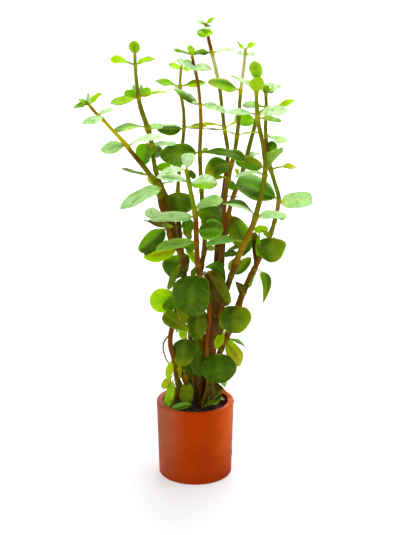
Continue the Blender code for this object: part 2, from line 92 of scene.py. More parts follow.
# Bumps and dark marks on the pot: angle, height, half the width as an angle, half the height; bumps: size
POT_BUMPS = (
    (-0.06, 0.0492, 0.035, 0.0007, 0.0005),
    (-0.05, 0.0135, 0.05, 0.0026, 0.00035),
    (0.10, 0.0205, 0.04, 0.0012, 0.0002),
)
POT_MARKS = (
    (-2.97, 0.0484, 0.03, 0.0007),
    (-2.4, 0.031, 0.012, 0.0003),
    (-1.1, 0.022, 0.010, 0.0003),
    (-1.9, 0.012, 0.014, 0.0003),
)
POT_MARK_DEPTH = 0.75

# Clay, in sRGB: plain, painted light at +X, a painted greyish reflection at -X, deep at the foot; then the
# share left on the inside
CLAY = (196, 64, 3)
CLAY_PAINTED_LIGHT = (246, 104, 14)
CLAY_PAINTED_REFLECTION = (178, 106, 74)
CLAY_DEEP = (180, 58, 2)
CLAY_INSIDE = 0.55

# Growing medium
MEDIUM_TOP = 0.0442
MEDIUM_SHOULDER = 0.002
MEDIUM_SHOULDER_DROP = 0.0012
MEDIUM_WALL_GAP = 0.0003
MEDIUM_FOOT_GAP = 0.0005
MEDIUM_FOOT_INSET = 0.001
MEDIUM_LUMPS = 0.0011
MEDIUM_LUMP_SCALE = 260
MEDIUM_GRAIN_SCALE = 700
MEDIUM_SEGMENTS = 120
MEDIUM_TONES = ((46, 32, 18), (98, 66, 34))
FIBRE_SEED = 12
FIBRE_COUNT = 70
FIBRE_STEP = 0.0011
FIBRE_RADIUS = (0.10, 0.26)
FIBRE_TONES = ((150, 120, 70), (110, 78, 40), (78, 52, 26), (60, 40, 20))

# Leaves
BLADE_THICKNESS = 0.00042
STALK_RADIUS = 0.00052
STALK_LEAST = 0.0001
STALK_SHARE = 0.16
RIB_RADIUS = 0.00035
RIB_SPREAD = 0.0005
RIB_TINT_SPREAD = 0.00045
VEIN_RELIEF = 0.00003
VEIN_FULL_WIDTH = 0.008
OUTLINE_UNEVEN = 0.05
SIDE_BEND = 0.03
VEIN_PAIRS = 6.5
VEIN_SWEEP = 1.6
LEAF_ROUGHNESS = 0.34

# Large and small leaves: where they start, as a share of the stem's radius, how much of the length is stalk,
# and the rows and columns of the mesh
LARGE_KIND = (0.7, 0.06, 44, 10)
SMALL_KIND = (0.3, 0.15, 26, 6)

# Stems
STEM_SIDES = 20
STEM_STEP = 0.7
STEM_FLUTES = 0.05
STEM_WAVES = ((0.035, 0.45), (0.02, 1.7))
STEM_END = (0.9, 0.7, 0.4)
NODE_SWELL = 0.22
NODE_LENGTH = 1.3
NODE_DROP = 0.6
YOUNG_FROM = (190, 225)

# Colours of leaves: the upper face, then the underside, in sRGB from 0 to 255
TONES = {
    "lime": ((186, 234, 2), (172, 212, 6)),
    "bright": ((134, 196, 4), (130, 178, 6)),
    # pale is a lighter green that partly paints the sheen of light on the upper face
    "pale": ((138, 204, 66), (140, 188, 40)),
    "green": ((94, 148, 4), (104, 138, 6)),
    "dark": ((66, 100, 1), (88, 114, 3)),
    "olive": ((106, 124, 3), (122, 118, 5)),
    "yellow": ((210, 214, 6), (192, 184, 10)),
    "brown": ((92, 58, 10), (80, 50, 10)),
    "moss": ((136, 154, 6), (138, 144, 8)),
    "rust": ((196, 118, 26), (156, 90, 20)),
}

# Tones that share the slot of another tone
SLOT_OF = {"moss": "olive", "rust": "brown"}

# Colours of stems and other single parts, in sRGB
SKIN_TONES = {
    "red_brown": (128, 68, 4),
    "bark": (98, 66, 3),
    "tan": (150, 112, 4),
    "olive": (116, 120, 2),
    "green": (124, 154, 4),
    "yellow": (192, 182, 10),
    "pale": (212, 214, 130),
    "dark": (74, 58, 4),
    "pink": (176, 128, 50),
}

# Shoots: name, radius at some heights, then the route from the bottom up, all in millimetres.
# A shoot that forks off another starts on that one's centre line.
SHOOTS = {
    "stem_a": (((152, 1.5), (168, 1.6), (180, 1.9), (190, 2.2), (200, 1.6), (222, 1.3), (236, 1.0),
               (246, 1.0)), (
        (-10.8, -1.6, 152.5), (-13.6, -3.2, 155.5), (-15.4, -4.2, 160), (-16.2, -4, 164), (-17.5, -3.8, 170),
        (-19.3, -3.6, 176.3), (-21.1, -3.6, 183), (-21.4, -3.6, 188), (-23.7, -3.9, 194), (-27, -4.6, 199.5),
        (-31.4, -5.6, 206), (-35.7, -6.6, 211.5), (-39.6, -7.5, 216.8), (-42.5, -8.3, 221),
        (-47.4, -9.3, 226.8), (-51.3, -10.2, 231.3), (-55.2, -11, 236), (-59.1, -12, 240),
        (-63.8, -13, 246))),
    "stem_b": (((40, 1.6), (60, 1.5), (95, 1.6), (130, 1.8), (160, 2.1),
               (186, 2.2), (194, 1.6), (212, 1.4), (227, 1.75), (240, 1.45), (252, 1.15), (274, 0.85)), (
        (-9, 3, 40), (-9.3, 2.8, 48), (-11.9, 0.6, 64), (-13.8, -1.6, 78.5), (-15.9, -2.5, 89),
        (-15.4, -2.2, 97), (-13.9, -1.8, 103), (-10.6, -1.2, 116), (-8.3, -1, 126), (-6.9, -1, 136),
        (-7.3, -1, 143), (-9.5, -1, 151), (-12.6, -1, 157.5), (-13.6, -0.8, 164), (-15.6, -0.4, 176),
        (-18.3, 0.3, 184.5), (-22.6, 1.5, 196), (-25, 2, 205), (-26.3, 2.5, 216), (-28.4, 3, 226),
        (-33.6, 4.5, 242), (-35.9, 5.5, 260), (-36.5, 6.5, 274))),
    "stem_c": (((40, 1.5), (60, 1.45), (97, 1.3), (137, 1.5), (165, 1.7),
               (180, 1.3), (200, 1.1), (252, 1.05), (256, 0.8), (265, 0.75)), (
        (0.5, 8.5, 40), (0.5, 8.5, 47), (-1, 8, 65), (-3.7, 7, 97), (-5.8, 6.6, 123), (-7.2, 6.6, 137),
        (-9.2, 7, 152), (-10.9, 8.8, 183), (-9.8, 10.3, 201), (-8.2, 11.3, 213), (-6.9, 12.3, 226),
        (-7, 13.2, 236), (-9.2, 14.5, 251), (-8.4, 15, 265))),
    "stem_d": (((40, 1.4), (52, 1.8), (62, 2.1), (90, 1.9), (130, 1.7), (155, 1.5),
               (200, 1.3), (236, 1.15), (275, 0.8)), (
        (2.5, 4.2, 40), (2.5, 4.2, 47), (3.2, 4, 56), (4.4, 3.6, 75), (4.6, 3, 90), (3.8, 2.4, 104),
        (3, 1.8, 118), (3, 1, 130), (3.9, 0.3, 141), (5.4, -0.3, 148), (6, -0.5, 155),
        (5, -0.3, 172), (3.5, -1, 200), (3, -1.8, 212), (3.6, -3.2, 236), (2.1, -4.2, 255), (-2, -5, 275))),
    "stem_e": (((40, 1.7), (70, 1.9), (118, 2.0), (144, 1.9), (168, 1.6),
               (196, 1.4), (225, 1.15), (272, 1.05), (285, 0.95), (291, 0.6)), (
        (6.3, 9.2, 40), (6.3, 9.2, 47), (8.5, 8, 64), (11.5, 6.7, 93), (12.8, 6.7, 118), (13.8, 7.8, 144),
        (15.7, 8.8, 168), (19.1, 9, 196), (20.3, 7.4, 213), (18.5, 6, 225), (16.6, 7, 240),
        (15.1, 8, 252), (10.9, 10, 271), (8.2, 11, 282), (6.4, 11.8, 291))),
    "stem_f": (((40, 1.7), (96, 1.9), (150, 1.8), (187, 1.5), (215, 1.3),
               (250, 1.1), (258, 0.9), (277, 0.75)), (
        (8.5, 4, 40), (8.5, 4, 47), (10.5, 3, 70), (13, 2, 96), (15, 2, 117), (17.2, 2.8, 150),
        (17.8, 3, 172), (19, 3, 187), (21.3, 3, 199), (24.8, 3.6, 215), (26.2, 4, 226),
        (28.1, 4, 253), (29.7, 3, 266), (30.6, 2, 277))),
    "stem_g": (((105, 1.7), (148, 1.8), (170, 1.7), (193, 1.5), (216, 1.35), (240, 1.25), (261, 1.1)), (
        (14.2, 1.9, 105), (15.2, 0.6, 108.5), (16.6, -0.9, 112.5), (19.8, -2.6, 125), (22.6, -4, 135),
        (27, -5.5, 148), (31.4, -6.3, 159), (36.2, -6.8, 170), (38.6, -7.1, 179.5), (41.6, -7.7, 193),
        (43, -8, 205), (42, -8, 216), (37.8, -8, 238), (37.1, -8.5, 248), (36.8, -9, 261))),
    "stem_h": (((40, 1.6), (65, 1.7), (90, 1.9), (125, 1.9), (137, 1.7),
               (150, 1.35), (184, 1.3), (225, 1.15), (251, 0.95)), (
        (11.5, 9.5, 40), (11.5, 9.5, 46), (13.1, 7.6, 65.5), (16.8, 4, 83.5), (21.5, 2.7, 95),
        (26.2, 2, 108), (30, 2.2, 121), (34.5, 2.6, 131), (40.7, 3, 144.6), (46.5, 3, 158),
        (49.8, 3, 168.7), (51.7, 3, 178), (52.2, 3.2, 184), (49.7, 3.6, 193), (46.8, 4.1, 202.6),
        (43.6, 6.2, 224.7), (43.8, 7.6, 241), (43.3, 8.8, 251.5))),
    "stem_j": (((40, 1.5), (60, 1.6), (118, 1.7), (150, 1.6), (177, 1.5), (195, 1.35), (207, 1.25)), (
        (5.4, 0.6, 40), (5.4, 0.6, 47), (7.4, -0.1, 54), (8.8, 0, 61), (8.2, 0.4, 72), (7.6, 0.4, 82),
        (8, -0.4, 94), (9, -2.6, 106), (8.4, -4.6, 118.5), (5, -6.8, 129), (2.6, -8.6, 138.5),
        (1, -11.8, 158.5), (0.2, -14, 177.7), (-2.2, -15.6, 190.5), (-4.4, -17.2, 203),
        (-5.3, -18, 207.5))),
    "stem_k": (((152, 1.5), (185, 1.4), (235, 1.25)), (
        (17.4, 2.9, 152.5), (18.1, 4.1, 156), (19.2, 5.8, 159.5), (20.9, 7.2, 171.5), (24, 9.3, 183.5),
        (28.3, 11.4, 194), (32, 13.6, 207), (35.9, 15.2, 222), (39.2, 16, 235))),
    "stem_p": (((140, 1.6), (150, 1.8), (160, 1.75)), (
        (38.8, 3.2, 140.5), (38.8, 4.6, 142.3), (38.5, 6.2, 144.5), (37.9, 7, 149), (37.6, 8, 154),
        (37.6, 9.3, 160))),
}

# Colour of each stem at heights along it, in millimetres
SKINS = {
    "stem_a": ((152, "bark"), (165, "red_brown"), (185, "bark"), (190, "olive"), (203, "olive"),
               (212, "bark"), (218, "tan"), (223, "yellow"), (237, "yellow"), (241, "tan"),
               (246, "red_brown")),
    "stem_b": ((40, "olive"), (58, "olive"), (66, "bark"), (76, "red_brown"), (120, "red_brown"),
               (150, "bark"), (175, "bark"), (188, "olive"), (246, "olive"), (262, "green"),
               (274, "green")),
    "stem_c": ((40, "olive"), (60, "tan"), (120, "bark"), (165, "bark"), (185, "olive"), (240, "olive"),
               (250, "yellow"), (265, "green")),
    "stem_d": ((40, "tan"), (60, "bark"), (72, "bark"), (115, "red_brown"), (150, "bark"), (168, "olive"),
               (215, "olive"), (236, "tan"), (250, "tan"), (262, "red_brown"), (275, "dark")),
    "stem_e": ((40, "bark"), (100, "red_brown"), (150, "bark"), (190, "red_brown"), (205, "tan"),
               (225, "olive"), (253, "olive"), (258, "pale"), (270, "pale"), (273, "yellow"),
               (276, "red_brown"), (285, "red_brown"), (291, "dark")),
    "stem_f": ((40, "bark"), (90, "red_brown"), (140, "bark"), (170, "red_brown"), (200, "tan"),
               (215, "olive"), (246, "olive"), (251, "yellow"), (256, "pale"), (272, "pale"),
               (277, "green")),
    "stem_g": ((105, "red_brown"), (120, "bark"), (142, "bark"), (150, "tan"), (165, "tan"), (180, "olive"),
               (225, "olive"), (245, "green"), (261, "green")),
    "stem_h": ((40, "tan"), (80, "red_brown"), (110, "red_brown"), (125, "bark"), (142, "red_brown"),
               (152, "olive"), (168, "olive"), (174, "red_brown"), (180, "pink"), (184, "olive"),
               (190, "green"), (203, "green"), (215, "red_brown"), (225, "olive"), (240, "olive"),
               (251, "olive")),
    "stem_j": ((40, "olive"), (60, "tan"), (90, "red_brown"), (173, "red_brown"), (183, "green"),
               (207, "green")),
    "stem_k": ((152, "tan"), (185, "tan"), (210, "olive"), (235, "green")),
    "stem_p": ((140, "red_brown"), (150, "dark"), (160, "dark")),
}

# Outlines of leaves: how blunt the stalk end and the tip are; a smaller number is blunter.
OVAL = (0.60, 0.62)
ROUND = (0.50, 0.48)

Leaf = namedtuple("Leaf", "height reach width arch roll colour look")


def leaf(height, reach, width, arch, roll, colour, **look):
    """A leaf of the plan: height of its node, reach from there to the tip, width, arch, roll in degrees
    (it turns the upper face to -Y), colour, and what is special about its look."""
    return Leaf(height, reach, width, arch, roll, colour, look)


# Large leaves, each its own piece; the name starts with its stem's letter
LARGE_LEAVES = {
    "a_lower": leaf(191.5, (-25.6, -5, -12.3), 10.2, 0.11, 38, "pale", start=(-20.4, -6.8, 193),
        form=(0.40, 0.55), stalk=0.04, blend="bright", sheen=0.6),
    "a_folded": leaf(163, (-16.5, -4, -13.2), 12.5, 0.08, 40, "green", start=(-18.3, -5.8, 166.6),
        form=ROUND, stalk=0.04, cup=-0.25, sides=("bright", "dark"), rib="pale"),
    "a_left": leaf(220, (-14.5, -2, -3), 8.5, 0.03, 50, "pale", stalk=0.04, rib="dark",
        sides=("pale", "bright"), sheen=0.5),
    "a_right": leaf(219.5, (23, 0.5, 4.9), 7, 0.10, 25, "pale", sheen=1.0),
    "b_back": leaf(218, (-3, -3, -13.5), 16, 0.04, 0, "green", start=(-29.3, 6, 218.5), form=(0.35, 0.6),
        sides=("bright", "green")),
    "b_yellow": leaf(151.5, (-21, -3, -4.2), 10, 0, 55, "lime", rib="rust", wave=0.6, blend="yellow"),
    "b_hanging": leaf(149, (-2.5, -5, -15), 17, 0.06, 0, "dark", start=(-10.8, 4.5, 147.3),
        form=(0.5, 0.55), base="bright"),
    "b_side": leaf(139.5, (-7.6, -4, -15), 6.5, 0.08, 20, "olive", start=(-9.3, -6.6, 143.6), edge="brown",
        cup=-0.3),
    "b_round": leaf(121.5, (-18, 0, -6), 15.5, 0.03, 72, "lime", form=ROUND, stalk=0.1, base="green",
        rib="bright"),
    "b_olive": leaf(113, (16.8, -3, -11.2), 10.2, 0.05, 65, "olive", start=(-20.2, -4.8, 110.8),
        form=(0.35, 0.9), stalk=0.02, edge="green", tip="moss"),
    "b_in_pot": leaf(64, (-4.2, -5.5, -17.5), 6.5, 0.03, 20, "lime", start=(-14.4, -1.8, 63.8),
        form=(0.45, 0.45), wave=0.6, rib="pale", edge="green", spots=((0.72, 0.5, 0.9, "brown"),)),
    "c_left": leaf(226, (-16, -1, 0.2), 8.8, 0.04, 50, "dark", edge="green", cup=-0.2, sheen=0.9,
        sheen_side=(-0.3, -0.7)),
    "c_front": leaf(187, (1, -8, -13), 19, 0.08, 0, "dark", form=ROUND, base="olive", edge="olive"),
    "c_round": leaf(91, (-2.8, -8, -17), 15.5, 0.08, 0, "dark", start=(-5.6, 3, 91.8), form=(0.5, 0.5),
        blend="olive", tip="moss", spots=((0.85, 0.35, 0.35, "brown"),)),
    "d_left": leaf(214, (-23.5, -2, -2), 15, 0.03, 55, "dark", edge="green", blend="green"),
    "d_right": leaf(213.7, (26.5, -6, -2.6), 8.2, 0.10, 35, "dark", form=(0.9, 0.35), edge="bright",
        wave=0.7, blend="green", stalk=0.06, base="olive"),
    "d_brown": leaf(140, (12.7, -5, -21.3), 11.5, 0.05, 60, "olive", start=(8, -5, 139), form=(0.3, 0.4),
        sides=("brown", "olive"), base="brown", blend="brown", stalk=0.02,
        spots=((0.95, 0, 1.2, "brown"),)),
    "d_long": leaf(142, (12.4, -1, -12.5), 7.5, 0, 60, "dark", start=(5.9, -3, 140.6), bow=(2.5, 0, 6),
        base="green", stalk=0.02),
    "d_hanging": leaf(107, (-0.4, -8, -15), 12.5, 0.08, 0, "dark", start=(1.5, -1.2, 109.7),
        form=(0.35, 0.45), sides=("dark", "olive"), edge="olive"),
    "f_upper": leaf(251.5, (-19.5, -7, 6), 10.5, 0.05, 40, "green", stalk=0.12, sides=("green", "bright"),
        edge="yellow", tip="moss", sheen=0.35, sheen_side=(-0.6, -0.95)),
    "f_left": leaf(206, (-15.8, -4, -6.4), 12.5, 0.15, 50, "dark", tip="yellow", edge="green",
        spots=((0.66, 0.6, 0.8, "brown"),)),
    "f_dead": leaf(64, (2, -3, -12), 13, 0.08, 0, "brown", start=(10.8, -1, 63), form=ROUND, wave=0.8),
    "k_left": leaf(231, (-13, -5, 0.5), 10.5, 0.05, 55, "bright", form=ROUND, stalk=0.08),
    "k_right": leaf(172.5, (11.8, 0, -25), 14, 0.03, 75, "olive", sides=("moss", "bright"), base="brown",
        rib="brown", blend="green"),
    "g_upper": leaf(239.2, (17.6, -2.5, 2.4), 7.5, 0.04, 45, "pale", base="yellow", sheen=0.8),
    "g_back": leaf(206, (-17, 8, 3), 8.5, 0.03, 60, "green", form=(0.4, 0.4), sides=("moss", "green")),
    "g_left": leaf(175.5, (-19.5, -3, 8), 8, 0.20, 25, "pale", sides=("dark", "pale"), sheen=0.8,
        sheen_side=(0, 0.3)),
    "g_right": leaf(174.5, (18, -2, 0.6), 8.5, 0.06, 25, "pale", form=(0.45, 0.5), stalk=0.05, base="lime",
        sheen=0.6),
    "g_lower": leaf(158.5, (-23, -3, -1.2), 7, 0.13, 30, "bright", form=(0.6, 0.5), stalk=0.2,
        sides=("bright", "pale"), sheen=0.15),
    "h_upright": leaf(203.5, (6, -7, 13.4), 14, 0.05, 0, "bright", start=(45.8, 2.5, 203.8),
        form=(0.7, 0.4), base="green", spots=((0.55, 0, 0.4, "brown"),)),
    "h_right": leaf(181, (20, -4, 3), 11.3, 0, 55, "pale", form=(0.45, 0.35), stalk=0.04, base="lime",
        blend="bright", rib="yellow", sheen=0.5, edge="green"),
    "h_left": leaf(183.5, (-25.5, 0, 11), 18.5, 0.06, 42, "dark", form=(0.62, 0.45), rib="pale",
        sides=("green", "dark"), edge="pale", sheen=0.35, sheen_side=(-0.4, -0.8)),
    "h_broad": leaf(161, (-2, -5.5, -15.3), 19, 0.10, 0, "olive", start=(49.6, 0.8, 159.5),
        form=(0.30, 0.52), sides=("dark", "moss"), rib="moss", edge="moss", blend="green",
        spots=((0.18, 0.35, 0.5, "brown"),)),
    "h_crescent": leaf(138, (5.4, -1, -22.6), 6.5, 0, 85, "olive", start=(37.8, 1.5, 138), form=(0.55, 0.9),
        stalk=0.22, bow=(4.1, 0, 4.7), base="pale", sides=("green", "dark"), tip="moss"),
    "h_lower": leaf(114.5, (-3, -9, -16), 21, 0.10, 0, "olive", form=(0.3, 0.38), sides=("dark", "moss"),
        blend="dark", rib="moss", edge="moss"),
    "h_round": leaf(84, (-0.6, -9.5, -17), 22.3, 0.10, 0, "dark", start=(15.7, 1.2, 81.5),
        form=(0.45, 0.45), stalk=0.03, rib="green"),
    "j_upper_left": leaf(198.8, (-18.8, -4, 4), 10, 0.10, 22, "pale", sheen=1.0),
    "j_upper_right": leaf(196.8, (16.2, -3, 1.6), 11, 0.12, 40, "bright", form=ROUND,
        sides=("bright", "pale"), sheen=1.0, sheen_side=(-0.2, 0.4), tip="moss"),
    "j_long": leaf(177.6, (-26.5, -3, 0.4), 7, 0.02, 50, "pale", start=(-1.5, -12.8, 176), form=(0.3, 0.3),
        stalk=0.03, blend="bright", sheen=0.6, spots=((0.72, 0.6, 0.5, "green"),)),
    "j_right": leaf(182, (16.5, -4, 5.8), 10.5, 0.12, 30, "pale", form=(0.5, 0.42), stalk=0.03,
        blend="lime", sheen=0.35),
    "j_dark": leaf(180, (16, 10.5, -6.5), 16.5, 0.10, 76, "dark", form=ROUND, base="green"),
    "j_lower_left": leaf(160, (-24, -4, -3.8), 7.8, 0.06, 38, "bright", rib="dark", edge="pale", stalk=0.05,
        sheen=0.12, spots=((0.5, 0, 1.4, "dark"),)),
    "j_veined": leaf(167.5, (15.5, -6, 2.5), 13, 0.06, 62, "green", form=ROUND, rib="pale", edge="pale",
        sides=("green", "dark")),
    "j_front": leaf(138, (-3.4, -10.2, -24), 25, 0.10, 0, "dark", start=(2, -9.8, 138), form=(0.40, 0.45),
        stalk=0.03, bow=(-1.6, 0, 0), rib="green"),
}

# Wilted leaves that have dropped on the growing medium
FALLEN_LEAVES = {
    "left": leaf(0, (-13, -3, -2.5), 6.5, 0.08, 25, "dark", start=(-2.5, -8, 49.5), edge="pale", wave=0.9,
        sides=("pale", "dark")),
    "right": leaf(0, (13, 4, 4), 8, 0.18, 15, "olive", start=(6, -7, 47.5), edge="pale", wave=1.0,
        spots=((0.6, 0, 1.6, "brown"),)),
}

